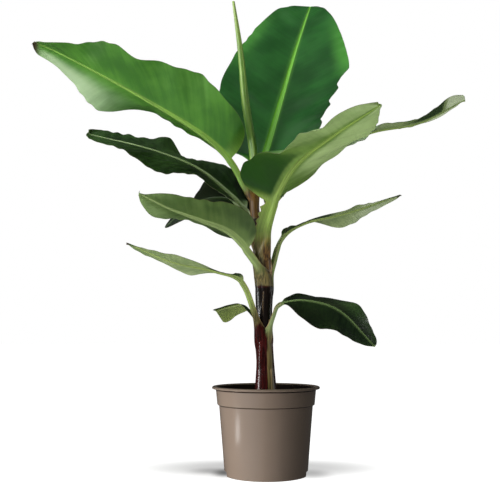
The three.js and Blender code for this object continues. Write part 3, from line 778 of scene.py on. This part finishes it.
def leaf_half(leaf, course, side_name, seed):
    """One half of a leaf: its places to the side and up, the way out from the middle, and the
    share of the half's width."""
    hand = HANDS[side_name]
    distances, along = course.distances, course.along
    half_rib, on_blade = course.half_rib, course.on_blade
    torn = leaf.get(f"torn_{side_name}", EVEN)
    widened = between(100 * along, leaf.get(f"width_{side_name}", EVEN))
    widened = widened * np.interp(100 * along, list(torn), list(torn.values()))
    width = np.maximum(course.outline * widened - half_rib, 0) * smooth(course.blade, -0.001, 0.001)
    least = course.wing * (1 - smooth(along, 0.9, 1.0)) * 0.4 + 0.25
    width = np.maximum(width, np.where(course.blade > 0, least, course.wing))
    fold = course.fold
    flap = leaf.get("flap")
    if flap and flap["side"] == side_name:
        opened = band(distances, flap["reach"])
        ragged = 1 + 0.12 * np.sin(distances / 2.1) + 0.08 * np.sin(distances / 0.9)
        width = np.maximum(width, flap["width"] * opened * ragged)
        fold = mix(fold, math.radians(flap["fold"]), opened)
    inner = np.minimum(RIB_EDGE / np.maximum(width, 1e-3), 0.2)
    outer = 1 - np.minimum(MARGIN_STRIP / np.maximum(width, 1e-3), 0.2)
    even = np.linspace(0, 1, BLADE_POINTS - 2)
    across = np.concatenate([np.zeros_like(along), mix(inner, outer, even), np.ones_like(along)], 1)
    out = width * across
    full = half_rib + width
    across_all = (half_rib + out) / full

    # The waves and the lift of the margin, its fine ripples, ridges over the side veins and swells.
    wave_height, count, start = leaf["waves"]
    swing = np.sin(2 * np.pi * (count * along + start + 0.2 * hand))
    wave = wave_height * across_all**2 * swing * np.sin(np.pi * np.sqrt(along))
    wave = wave + between(100 * along, leaf.get(f"lift_{side_name}", LEVEL)) * across_all**2
    phase = distances - VEIN_SWEEP * out
    ripple = RIPPLE * np.sin(phase / 7.5 + 3 * np.sin(phase / 31 + seed) + hand) * across_all**4
    ridge = RIDGE * np.sin(phase / 1.35 + 1.5 * np.sin(phase / 17 + hand))
    ridge = ridge * (1 - 0.5 * across) * smooth(across, 0.0, 0.08)
    slow = SWELL * np.sin(phase / 19 + seed + 2 * np.sin(phase / 47 + seed))
    slow = slow * np.sin(across_all * 2.6) ** 2
    creased = np.sin(phase / 5.2 + 2 * np.sin(out / 11)) * np.sin(out / 6.5 + phase / 23 + seed)
    slow = slow + leaf.get("crumple", 0) * creased * smooth(across, 0.05, 0.4)
    lively = on_blade * np.minimum(1, full / 60)

    turn = fold + course.curl * across / 2
    rise = out * np.sin(turn) + wave * on_blade + lively * (ripple + ridge + slow)
    return SimpleNamespace(
        x=hand * (half_rib + out * np.cos(turn)), y=course.edge + rise,
        out=hand * (half_rib + out), across=across,
    )


def leaf_surface(leaf, seed):
    """The rows of a leaf's closed sections and its course, and for each point of its upper face the
    way out from the middle, negative to the left, and the share of the half's width."""
    path = Path(leaf["path"])
    distances = leaf_distances(leaf, path.length)
    blade, centre, side, up = leaf_frames(leaf, path, distances)
    course = leaf_course(leaf, distances[:, None], blade[:, None], centre[:, 2:])
    left, right = (leaf_half(leaf, course, side_name, seed) for side_name in HANDS)
    rib_turn = np.radians(np.linspace(-90, 90, RIB_POINTS)[1:-1])
    rib_across = course.half_rib * np.sin(rib_turn)
    base = left.y[:, :1] * 0.5 + right.y[:, :1] * 0.5
    under = base - (course.depth + base * course.on_blade) * np.cos(rib_turn)
    upper = base - course.channel * np.cos(rib_turn) ** 1.3

    def row(left_part, rib_part, right_part):
        """Rows from the left margin over the midrib to the right margin."""
        return np.concatenate([left_part[:, ::-1], rib_part, right_part], 1)

    x = row(left.x, rib_across, right.x)
    left_thick, right_thick = (mix(*BLADE_THICKNESS, half.across) / 2 for half in (left, right))
    top = row(left.y + left_thick, upper, right.y + right_thick)
    bottom = row(left.y - left_thick, np.minimum(under, upper - 0.5), right.y - right_thick)
    top, bottom = (
        centre[:, None, :] + x[..., None] * side[:, None, :] + level[..., None] * up[:, None, :]
        for level in (top, bottom)
    )
    out = row(left.out, rib_across, right.out)
    across = row(left.across, np.zeros_like(rib_across), right.across)
    return np.concatenate([top, bottom[:, ::-1]], 1), course, out, across


def both_faces(values):
    """The values of each row of the upper face, and back along it for the lower face."""
    return np.concatenate([values, values[:, ::-1]], 1)


def make_leaf(name, leaf, seed):
    rings, course, out, across = leaf_surface(leaf, seed)
    rows, columns = rings.shape[:2]
    faces = [face[::-1] for face in closed_faces(rows, columns)]
    face_columns = np.tile(np.arange(columns), rows - 1)
    face_materials = np.concatenate([face_columns >= columns // 2, [True, True]])
    materials = leaf_finishes(name, leaf["shade"])
    piece = make_object(f"dressed_{name}", rings, faces, [name], materials, face_materials)
    mesh = piece.data

    away = np.abs(out)
    green_from, green_whole = leaf.get("green_from", GREEN_FROM)
    free = smooth(course.distances, green_from * leaf["stalk"], green_whole * leaf["stalk"])
    rib = np.exp(-np.maximum(away - course.half_rib, 0) / 0.5)
    values = dict(
        rib=mix(1.0, rib, course.on_blade),
        edge=across > 0.999,
        browned=smooth(course.blade, *DRY_TIP) if leaf.get("dry_tip") else 0,
        papery=np.exp(-(away.max(1, keepdims=True) - away) / 0.7) * (1 - course.on_blade),
        sheathed=1 - free,
        tint=painted_sheen_and_shade(leaf, course, out, across),
    )
    for value_name, value in values.items():
        set_values(mesh, value_name, both_faces(value * np.ones_like(out)))
    looks = sheath_look(rings)
    if leaf.get("fresh_sheath"):
        looks["burnt"] *= 0
        looks["olive"] = np.maximum(looks["olive"], smooth(rings[..., 2], *FRESH_FROM))
    for look, value in looks.items():
        set_values(mesh, look, value)

    veins = np.stack([both_faces(out), both_faces(course.distances - VEIN_SWEEP * away)], -1) / 100
    vertices = corner_vertices(mesh)
    set_map(mesh, "veins", veins.reshape(-1, 2)[vertices])
    set_map(mesh, "OFBake", bake_corners(vertices, rows, columns))


def painted_sheen_and_shade(leaf, course, out, across):
    """How much painted sheen makes the blade paler (up to 1), or painted shade deeper (down to -1), than
    the rest of the leaf.
    """
    left, right = (between(100 * course.along, leaf.get(f"tint_{name}", LEVEL)) for name in HANDS)
    reach = smooth(across, *leaf.get("tint_reach", (0.02, 0.7)))
    return np.where(out < 0, left, right) * reach * course.on_blade


def bake_corners(vertices, rows, columns):
    """A flat layout of a leaf: its rings unrolled side by side, and its two end faces beside them."""
    ring = vertices // columns
    step = (vertices % columns).astype(float)
    quads = (rows - 1) * columns * 4
    shaped = step[:quads].reshape(-1, 4)
    wraps = shaped.max(1) - shaped.min(1) > 1.5
    shaped[wraps] = np.where(shaped[wraps] < 0.5, columns, shaped[wraps])
    step[:quads] = shaped.ravel()
    layout = np.stack([0.01 + 0.95 * step / columns, 0.01 + 0.98 * ring / (rows - 1)], 1)
    for end, start in ((0.25, quads), (0.75, quads + columns)):
        turn = even_turns(columns)
        layout[start:start + columns, 0] = 0.98 + 0.008 * np.cos(turn)
        layout[start:start + columns, 1] = end + 0.008 * np.sin(turn)
    return layout


# For each kind of leaf on the plant: colours of the upper face and of the underside (dark, light),
# what a half turns to where it is paler or deeper, and the midrib above and below. Pale is painted
# sheen and deep is painted shade. The kinds deep, shaded and dark are darker copies painted for
# leaves in shade, and shaded and dark also let less light through.
SHADES = {
    "young": dict(upper=((36, 88, 30), (56, 116, 38)), under=((52, 104, 30), (76, 132, 40)),
                  pale=(160, 182, 144), deep=(26, 62, 20), rib=((124, 172, 66), (124, 166, 66))),
    "top": dict(upper=((17, 64, 22), (28, 84, 30)), under=((60, 112, 40), (88, 142, 54)),
                pale=(58, 128, 38), deep=(12, 48, 16), rib=((112, 182, 56), (122, 170, 60))),
    "front": dict(upper=((34, 70, 30), (58, 100, 42)), under=((84, 114, 44), (112, 142, 66)),
                  pale=(166, 186, 130), deep=(32, 68, 20), rib=((122, 160, 66), (134, 162, 70))),
    "grey": dict(upper=((38, 66, 32), (60, 92, 48)), under=((102, 122, 74), (128, 144, 94)),
                 pale=(182, 192, 162), deep=(34, 50, 26), rib=((128, 146, 88), (140, 160, 84))),
    "deep": dict(upper=((15, 30, 14), (34, 56, 26)), under=((104, 128, 80), (140, 160, 112)),
                 pale=(74, 104, 58), deep=(14, 26, 13), rib=((128, 150, 98), (142, 164, 112))),
    "shaded": dict(upper=((9, 19, 11), (26, 42, 22)), under=((70, 92, 46), (104, 128, 70)),
                   pale=(66, 94, 50), deep=(8, 16, 9), rib=((96, 118, 70), (130, 150, 96)), through=0.14),
    "yellow": dict(upper=((34, 58, 26), (56, 84, 36)), under=((86, 102, 42), (110, 124, 56)),
                   pale=(136, 150, 96), deep=(24, 38, 18), rib=((118, 136, 72), (134, 150, 84))),
    "dark": dict(upper=((8, 16, 8), (18, 32, 16)), under=((7, 14, 7), (16, 28, 13)),
                 pale=(50, 76, 44), deep=(6, 12, 6), rib=((48, 68, 34), (48, 68, 34)), through=0.05),
    "olive": dict(upper=((30, 54, 24), (48, 78, 34)), under=((64, 88, 38), (90, 114, 56)),
                  pale=(130, 156, 98), deep=(24, 42, 20), rib=((122, 144, 84), (144, 166, 100))),
}
MARGIN_BROWN = (84, 62, 48)
PAPERY_TAN = (148, 122, 86)
DRY_BROWN = (58, 42, 30)
# The colour of the light that comes through a blade, mixed with the blade's own, and its share.
THROUGH_BLADE = (150, 190, 60)
THROUGH_SHARE = 0.25
UPPER_ROUGHNESS, UNDER_ROUGHNESS = 0.36, 0.46
# Colours of the stem's sheaths (dark, light).
MAROON = ((29, 5, 4), (61, 10, 7))
SHEATH_TONES = {
    "olive": ((66, 62, 32), (118, 104, 60)),
    "dry": ((58, 38, 15), (122, 90, 40)),
    "burnt": ((8, 5, 4), (26, 16, 10)),
}
# Papery rims of olive sheaths, made pale enough to be a painted highlight too.
SHEATH_RIM_AND_HIGHLIGHT = (190, 160, 116)
# Roughness of maroon sheaths, and what olive or dry and what burnt ones have more.
SHEATH_ROUGHNESS, DULL_ROUGHER, BURNT_ROUGHER = 0.25, 0.22, 0.08


def sheath_tone(finish):
    """The colour of the stem's sheaths: maroon, olive, burnt or dry, streaked along the stem."""
    place = finish.object_place()
    fibres = finish.noise(place, (300, 300, 8), 3)
    blotch = finish.noise(place, (90, 90, 34), 4)
    jitter = finish.times(finish.less(blotch, 0.5), 0.8)
    tone = finish.shade(fibres, MAROON)
    for look, tones in SHEATH_TONES.items():
        share = finish.remap(finish.plus(finish.value_of(look), jitter), 0.35, 0.65)
        streaked = finish.shade(fibres, tones, 0.35, 0.68)
        tone = finish.blend(share, tone, streaked)
    return tone, fibres


def sheath_roughness(finish):
    """Maroon sheaths are glossy, and olive, dry or burnt ones less so. Also says how dull they are."""
    dull = finish.math("MAXIMUM", finish.value_of("olive"), finish.value_of("dry"))
    rough = finish.plus(SHEATH_ROUGHNESS, finish.times(dull, DULL_ROUGHER))
    return finish.plus(rough, finish.times(finish.value_of("burnt"), BURNT_ROUGHER)), dull


def leaf_finish(name, tones, look, rib_tone, rough, through):
    """A leaf's face: streaked along its side veins, with painted sheen and shade, and with its midrib,
    margin and dry tip.
    """
    finish = Finish(name, Specular_IOR_Level=0.35)
    veins = finish.map_place("veins")
    streaks = finish.noise(veins, (1.6, 70, 1), 3)
    bands = finish.noise(veins, (1.1, 12, 1), 3)
    patches = finish.noise(finish.object_place(), 13.0, 4)
    share = finish.plus(finish.times(bands, 0.3), finish.times(patches, 0.7))
    tone = finish.shade(share, tones, 0.36, 0.64)
    uneven = finish.times(finish.less(share, 0.5), 0.6)
    tint = finish.plus(finish.value_of("tint"), uneven)
    # Painted sheen where the tint is above nought, painted shade where it is below.
    tone = finish.blend(finish.remap(tint, 0.0, 1.0), tone, look["pale"])
    tone = finish.blend(finish.remap(tint, 0.0, -1.0), tone, look["deep"])
    # Painted shade in dark wrinkles along the streaks, in the deep tone.
    deepest = finish.remap(streaks, 0.58, 0.72, 0.0, 0.3)
    painted_crease_shade = finish.times(deepest, finish.remap(patches, 0.45, 0.6))
    tone = finish.blend(painted_crease_shade, tone, look["deep"])
    rib_lines = finish.noise(veins, (60, 0.8, 1), 3)
    darker_rib = tuple(int(c * 0.8) for c in rib_tone)
    rib_colour = finish.shade(rib_lines, (darker_rib, rib_tone))
    tone = finish.over(tone, "rib", rib_colour)
    tone = finish.over(tone, "sheathed", sheath_tone(finish)[0])
    tone = finish.over(tone, "edge", MARGIN_BROWN, 0.6)
    tone = finish.over(tone, "papery", PAPERY_TAN, 0.75)
    tone = finish.over(tone, "browned", DRY_BROWN)
    free = finish.less(1.0, finish.value_of("sheathed"))
    on_sheath = finish.times(finish.value_of("sheathed"), sheath_roughness(finish)[0])
    height = finish.times(finish.plus(finish.times(streaks, 0.5), bands), free)
    finish.give(Base_Color=tone, Roughness=finish.plus(finish.times(free, rough), on_sheath),
                Normal=finish.bump(height, 0.0012, 0.35))
    glow = finish.blend(0.45, tone, THROUGH_BLADE)
    finish.let_light_through(through, finish.over(glow, "sheathed", (0, 0, 0)))
    return finish.material


def leaf_finishes(name, shade):
    look = SHADES[shade]
    through = look.get("through", THROUGH_SHARE)
    return [
        leaf_finish(f"{name}_upper", look["upper"], look, look["rib"][0], UPPER_ROUGHNESS, through),
        leaf_finish(f"{name}_under", look["under"], look, look["rib"][1], UNDER_ROUGHNESS, through),
    ]


for order, (leaf_name, leaf_facts) in enumerate(LEAVES.items(), 1):
    make_leaf(leaf_name, leaf_facts, order)


# The spear: the youngest leaf, still rolled up.
SPEAR_POINTS = [(-24.5, -1, 575.5), (-25, -8, 633), (-41, -14, 739), (-51, -20, 842), (-65, -28, 942)]
SPEAR_RADII = [6.5, 8.2, 7.8, 5.6, 2.6]
SPEAR_SIDES = 48
SPEAR_LEVELS = 160
# Where the free edge of its outer wrap starts and how far it winds, and how high a step it makes.
SPEAR_SEAM, SPEAR_WIND, SPEAR_STEP = 250, 70, 1.1
SPEAR_TONES = ((84, 122, 48), (128, 160, 72))
SPEAR_PALE, SPEAR_EDGE, THROUGH_SPEAR = (150, 170, 96), (74, 92, 44), (140, 180, 70)


def spear_finish():
    finish = Finish("new_leaf", Roughness=0.4)
    veins = finish.map_place("veins")
    lines = finish.noise(veins, (16, 1.2, 1), 4)
    tone = finish.shade(lines, SPEAR_TONES)
    tone = finish.over(finish.over(tone, "pale", SPEAR_PALE), "edge", SPEAR_EDGE)
    finish.give(Base_Color=tone, Normal=finish.bump(lines, 0.0008, 0.5))
    finish.let_light_through(0.12, THROUGH_SPEAR)
    return finish.material


def make_spear():
    path = Path(SPEAR_POINTS)
    share = np.linspace(0, 1, SPEAR_LEVELS)
    centre, _ = path.at(share)
    radius = between(share * 4, dict(enumerate(SPEAR_RADII)))
    turn = even_turns(SPEAR_SIDES)
    seam = np.radians(SPEAR_SEAM + SPEAR_WIND * share)[:, None]
    past = np.mod(turn[None, :] - seam, 2 * np.pi) / (2 * np.pi)
    step = SPEAR_STEP * (1 - past) * smooth(past, 0, 0.02) - 0.5
    reach = radius[:, None] + step * np.minimum(1, radius / 5)[:, None]
    ring = np.stack([np.cos(turn), np.sin(turn), np.zeros_like(turn)], 1)
    places = centre[:, None, :] + reach[..., None] * ring[None]
    faces = closed_faces(SPEAR_LEVELS, SPEAR_SIDES)
    piece = make_object("rolled_leaf", places, faces, ["spear"], [spear_finish()])
    edge = np.exp(-np.minimum(past, 1 - past) * 120)
    set_values(piece.data, "edge", edge * 0.8)
    set_values(piece.data, "pale", np.broadcast_to(smooth(share, 0.6, 1.0)[:, None], past.shape) * 0.6)
    veins = np.stack([past * 0.5, np.broadcast_to(share[:, None] * 3.8, past.shape)], -1).reshape(-1, 2)
    set_map(piece.data, "veins", veins[corner_vertices(piece.data)])


make_spear()


# The pseudostem
STEM_SIDES = 96
STEM_STEP = 1.4
# Edges of the older sheaths wind up the stem, each a low step with a papery rim that is also a
# painted highlight: where it starts, how far it turns for each millimetre, and the heights between
# which it shows.
SHEATH_EDGES = [
    (4.3, 0.008, 150, 330), (5.3, -0.0004, 150, 330), (1.2, 0.009, 150, 380),
    (2.6, -0.008, 200, 420), (3.9, 0.02, 300, 440), (0.4, 0.012, 260, 470),
]
# The height of the steps low and high on the stem, and of the furrows.
SHEATH_STEPS = (0.35, 1.1)
FURROW, FURROW_COUNT = 0.25, 11


def stem_finish():
    finish = Finish("sheaths")
    tone, fibres = sheath_tone(finish)
    # Papery rims on olive sheaths, painted pale as a highlight too.
    rim = finish.times(finish.value_of("edge"), finish.value_of("olive"))
    tone = finish.blend(finish.times(rim, 0.9), tone, SHEATH_RIM_AND_HIGHLIGHT)
    rough, dull = sheath_roughness(finish)
    ridges = finish.times(fibres, dull)
    finish.give(Base_Color=tone, Roughness=rough, Normal=finish.bump(ridges, 0.0006, 0.25))
    return finish.material


def make_stem():
    bottom, top = STEM[0][0], STEM[-1][0]
    heights = np.linspace(bottom, top, int((top - bottom) / STEM_STEP))
    lean, radius = stem_at(heights)
    grid_turn, grid_height = np.meshgrid(even_turns(STEM_SIDES), heights)
    relief = np.zeros_like(grid_turn)
    edge = np.zeros_like(grid_turn)
    for start, climb, low, high in SHEATH_EDGES:
        line = start + climb * (grid_height - low) + 0.05 * np.sin(grid_height / 9)
        past = np.mod(grid_turn - line + np.pi, 2 * np.pi) - np.pi
        within = smooth(grid_height, low, low + 15) * (1 - smooth(grid_height, high - 40, high))
        distance = past * radius[:, None]
        step = mix(*SHEATH_STEPS, smooth(grid_height, 280, 380))
        relief += within * step * smooth(distance, -0.6, 0.6) * (1 - smooth(distance, 6, 26))
        edge = np.maximum(edge, within * np.exp(-(distance / 0.9) ** 2))
    furrows = np.sin(grid_turn * FURROW_COUNT + np.sin(grid_height / 40) * 2)
    deeper = smooth(radius, 8, 14)[:, None] * mix(0.12, 1.0, smooth(grid_height, 330, 400))
    relief += FURROW * furrows * deeper
    reach = radius[:, None] + relief - 0.4
    places = np.stack([
        lean[:, None] + reach * np.cos(grid_turn), reach * np.sin(grid_turn), grid_height,
    ], -1)
    faces = closed_faces(len(heights), STEM_SIDES)
    piece = make_object("sheathed_stem", places, faces, ["pseudostem"], [stem_finish()])
    for look, values in sheath_look(places).items():
        set_values(piece.data, look, values)
    set_values(piece.data, "edge", edge)


make_stem()


# The pot, nearly as in the plant's source, with a finer lip and wider side cut-outs.
POT_HEIGHT = 167.5
WALL = 2.2
FLOOR = 2.5
FOOT_RADIUS = 79.8
# The middle of the underside is raised a little, out to this radius.
RAISED, RAISED_RADIUS = 1.2, 60
EDGE_ROUND = 1.2
BODY_TOP_RADIUS, BODY_TOP = 91.0, 130.6
BAND_BOTTOM_RADIUS, BAND_BOTTOM = 94.5, 132.4
BAND_TOP_RADIUS, BAND_TOP = 97.3, 159.0
LIP_RADIUS, LIP_BOTTOM = 105.0, 162.5
# Drain cut-outs: direction, width and how near the axis they start.
NOTCHES = [(0, 56, 70.0), (60, 24, 74.5), (120, 24, 74.5), (180, 56, 70.0)]
NOTCH_HEIGHT = 9.0
POT_SIDES = 192
PLASTIC_TONES = ((149, 131, 116), (153, 135, 120))
# Painted shade inside the pot's wall, and painted shade with dust in the creases under lip and band.
INSIDE_SHADE, CREASE_SHADE_AND_DUST = (34, 20, 13), (44, 34, 28)
PLASTIC_ROUGHNESS, INSIDE_SHADE_ROUGHNESS = 0.22, 0.85


def rounded(corners, radius, count=5):
    """A profile of [radius, height] corners with each inner corner turned into a small arc."""
    points = [np.array(corners[0], float)]
    for before, here, after in zip(corners, corners[1:], corners[2:]):
        before, here, after = (np.array(p, float) for p in (before, here, after))
        reach = min(radius, np.linalg.norm(before - here) * 0.45, np.linalg.norm(after - here) * 0.45)
        start = here + (before - here) / np.linalg.norm(before - here) * reach
        end = here + (after - here) / np.linalg.norm(after - here) * reach
        for t in np.linspace(0, 1, count):
            points.append((1 - t) ** 2 * start + 2 * t * (1 - t) * here + t**2 * end)
    points.append(np.array(corners[-1], float))
    return points


def turned_rings(profile, sides):
    """A ring of places about Z for each radius and height of the profile."""
    turn = even_turns(sides)
    return np.array([[(r * math.cos(a), r * math.sin(a), z) for a in turn] for r, z in profile])


def turned_mesh(profile, sides):
    """Places and faces of a profile turned about Z, whose two ends lie on the axis."""
    rings = turned_rings(profile[1:-1], sides)
    places = np.vstack([rings.reshape(-1, 3), [(0, 0, profile[0][1])], [(0, 0, profile[-1][1])]])
    faces = grid_faces(len(rings), sides)
    first, last = len(places) - 2, (len(rings) - 1) * sides
    faces += [[first, (i + 1) % sides, i] for i in range(sides)]
    faces += [[len(places) - 1, last + i, last + (i + 1) % sides] for i in range(sides)]
    return places, faces


def pot_finish():
    finish = Finish("pot_plastic")
    place = finish.object_place()
    patches = finish.noise(place, 9.0, 2)
    grain = finish.noise(place, 900.0, 2)
    tone = finish.shade(patches, PLASTIC_TONES, 0.3, 0.7)
    # Painted shade inside the wall below the rim, with a mottled edge.
    inside_mottle = finish.times(finish.less(finish.noise(place, 70.0, 4), 0.5), 0.5)
    shaded_inside = finish.remap(finish.plus(finish.value_of("inside"), inside_mottle), 0.4, 0.6)
    tone = finish.over(finish.blend(shaded_inside, tone, INSIDE_SHADE), "crease", CREASE_SHADE_AND_DUST)
    rough = finish.math("MAXIMUM", PLASTIC_ROUGHNESS, finish.times(shaded_inside, INSIDE_SHADE_ROUGHNESS))
    finish.give(Base_Color=tone, Roughness=rough, Normal=finish.bump(grain, 0.0002, 0.12))
    return finish.material


def cut_notches(piece):
    """Drain cut-outs through the wall and the rim of the floor."""
    form = bmesh.new()
    for direction, width, inner in NOTCHES:
        reach = FOOT_RADIUS + 10 - inner
        middle = inner + reach / 2
        block = bmesh.ops.create_cube(form, size=1.0)["verts"]
        size = Vector((reach, width, NOTCH_HEIGHT * 2)) * MM
        turn = Matrix.Rotation(math.radians(direction), 4, "Z")
        place = turn @ Matrix.Translation((middle * MM, 0, 0)) @ Matrix.Diagonal(size).to_4x4()
        bmesh.ops.transform(form, matrix=place, verts=block)
    mesh = bpy.data.meshes.new("notch_blocks")
    form.to_mesh(mesh)
    form.free()
    blocks = bpy.data.objects.new("notch_blocks", mesh)
    bpy.context.collection.objects.link(blocks)
    cut = piece.modifiers.new("notches", "BOOLEAN")
    cut.operation = "DIFFERENCE"
    cut.solver = "EXACT"
    cut.object = blocks
    whole = piece.evaluated_get(bpy.context.evaluated_depsgraph_get())
    cut_mesh = bpy.data.meshes.new_from_object(whole)
    piece.modifiers.clear()
    piece.data = cut_mesh
    bpy.data.objects.remove(blocks)


def pot_shares(mesh):
    """Shares of painted shade: inside the wall below the rim, and with dust in the creases under lip and
    band.
    """
    places = np.zeros(len(mesh.vertices) * 3, np.float32)
    mesh.vertices.foreach_get("co", places)
    places = places.reshape(-1, 3) / MM
    reach, height = np.hypot(places[:, 0], places[:, 1]), places[:, 2]
    heights = [0, BODY_TOP, BAND_BOTTOM, BAND_TOP, POT_HEIGHT]
    radii = [FOOT_RADIUS, BODY_TOP_RADIUS, BAND_BOTTOM_RADIUS, BAND_TOP_RADIUS, BAND_TOP_RADIUS + 1]
    outer = np.interp(height, heights, radii)
    # Painted shade inside the wall below the rim.
    within = smooth(outer - reach, 0.6, 1.6) * smooth(height, 1.4, 2.4)
    within *= 1 - smooth(height, POT_HEIGHT - 4, POT_HEIGHT - 1)
    under_lip = smooth(height, LIP_BOTTOM - 3.2, LIP_BOTTOM - 1.8)
    under_lip *= 1 - smooth(height, LIP_BOTTOM, LIP_BOTTOM + 0.4)
    under_band = smooth(height, BODY_TOP - 0.4, BODY_TOP + 0.3)
    under_band *= 1 - smooth(height, BAND_BOTTOM - 0.1, BAND_BOTTOM + 0.5)
    # Painted shade with dust in the creases under the lip and the band.
    crease = np.maximum(under_lip, 0.85 * under_band) * (1 - within)
    crease *= 1 - smooth(reach, LIP_RADIUS - 4, LIP_RADIUS)
    return within, crease


def make_pot():
    corners = [
        (0, RAISED), (RAISED_RADIUS, RAISED), (RAISED_RADIUS + 4, 0), (FOOT_RADIUS, 0),
        (BODY_TOP_RADIUS, BODY_TOP),
        (BAND_BOTTOM_RADIUS, BAND_BOTTOM), (BAND_TOP_RADIUS, BAND_TOP),
        (BAND_TOP_RADIUS + 0.2, LIP_BOTTOM - 3.4), (BAND_TOP_RADIUS + 0.3, LIP_BOTTOM - 1.6),
        (BAND_TOP_RADIUS + 0.4, LIP_BOTTOM), (LIP_RADIUS - 1, LIP_BOTTOM),
        (LIP_RADIUS, LIP_BOTTOM + 1), (LIP_RADIUS, POT_HEIGHT - 2),
        (LIP_RADIUS - 1.4, POT_HEIGHT - 0.5), (LIP_RADIUS - 3.4, POT_HEIGHT),
        (BAND_TOP_RADIUS, POT_HEIGHT - 1), (BAND_TOP_RADIUS - 1.8, LIP_BOTTOM),
        (BAND_TOP_RADIUS - WALL, BAND_TOP), (BAND_BOTTOM_RADIUS - WALL, BAND_BOTTOM),
        (BODY_TOP_RADIUS - WALL, BODY_TOP), (FOOT_RADIUS - WALL, FLOOR), (0, FLOOR),
    ]
    places, faces = turned_mesh(rounded(corners, EDGE_ROUND), POT_SIDES)
    piece = make_object("glossy_pot", places, faces, ["pot"], [pot_finish()])
    cut_notches(piece)
    piece.data.set_sharp_from_angle(angle=math.radians(40))
    inside, crease = pot_shares(piece.data)
    set_values(piece.data, "inside", inside)
    set_values(piece.data, "crease", crease)


make_pot()


# The filling of the pot
SOIL_EDGE_DROP = 4.0
SOIL_CROWN = 45.0
SOIL_FOOT = 71.0
SOIL_RINGS = 70
SOIL_SIDES = 150
CRUMB, CLUMP, CRUMB_HEIGHT = 7, 26, 1.5
SOIL_TONES, DAMP_PATCH = ((22, 13, 8), (74, 52, 36)), (46, 34, 24)


def soil_finish():
    finish = Finish("potting_soil", Roughness=0.95)
    place = finish.object_place()
    crumbs = finish.noise(place, 260.0, 5, 0.7)
    patches = finish.noise(place, 40.0, 3)
    tone = finish.shade(crumbs, SOIL_TONES, 0.35, 0.7)
    tone = finish.blend(finish.remap(patches, 0.5, 0.75, 0, 0.5), tone, DAMP_PATCH)
    finish.give(Base_Color=tone, Normal=finish.bump(crumbs, 0.002, 0.9))
    return finish.material


def make_soil():
    edge_top = SOIL_TOP - SOIL_EDGE_DROP
    share = (edge_top - BAND_BOTTOM) / (BAND_TOP - BAND_BOTTOM)
    edge_radius = mix(BAND_BOTTOM_RADIUS, BAND_TOP_RADIUS, share) - WALL - GAP
    turn = even_turns(SOIL_SIDES)
    wall = [
        (SOIL_FOOT, FLOOR + GAP), (SOIL_FOOT, NOTCH_HEIGHT + 1),
        (FOOT_RADIUS - WALL + 0.3, NOTCH_HEIGHT + 3), (BODY_TOP_RADIUS - WALL - 0.5, BODY_TOP),
        (BAND_BOTTOM_RADIUS - WALL - 0.5, BAND_BOTTOM),
    ]
    rings = turned_rings(wall, SOIL_SIDES).tolist()
    for r in np.linspace(edge_radius, 0.5, SOIL_RINGS):
        base = mix(SOIL_TOP, edge_top, max(0.0, (r - SOIL_CROWN) / (edge_radius - SOIL_CROWN)))
        ring = []
        for a in turn:
            spot = Vector((r * math.cos(a), r * math.sin(a), 3.0))
            crumb = noise.fractal(spot / CRUMB, 0.7, 2.1, 4)
            crumb += 0.6 * noise.fractal(spot / CLUMP, 0.8, 2.0, 2)
            fade = 0.25 if r > edge_radius - 1 else 1.0
            ring.append((spot.x, spot.y, base - 1.2 + CRUMB_HEIGHT * crumb * fade))
        rings.append(ring)
    places = np.array(rings)
    faces = closed_faces(len(rings), SOIL_SIDES)
    make_object("crumbly_soil", places, faces, ["soil"], [soil_finish()])


make_soil()
link_lights()
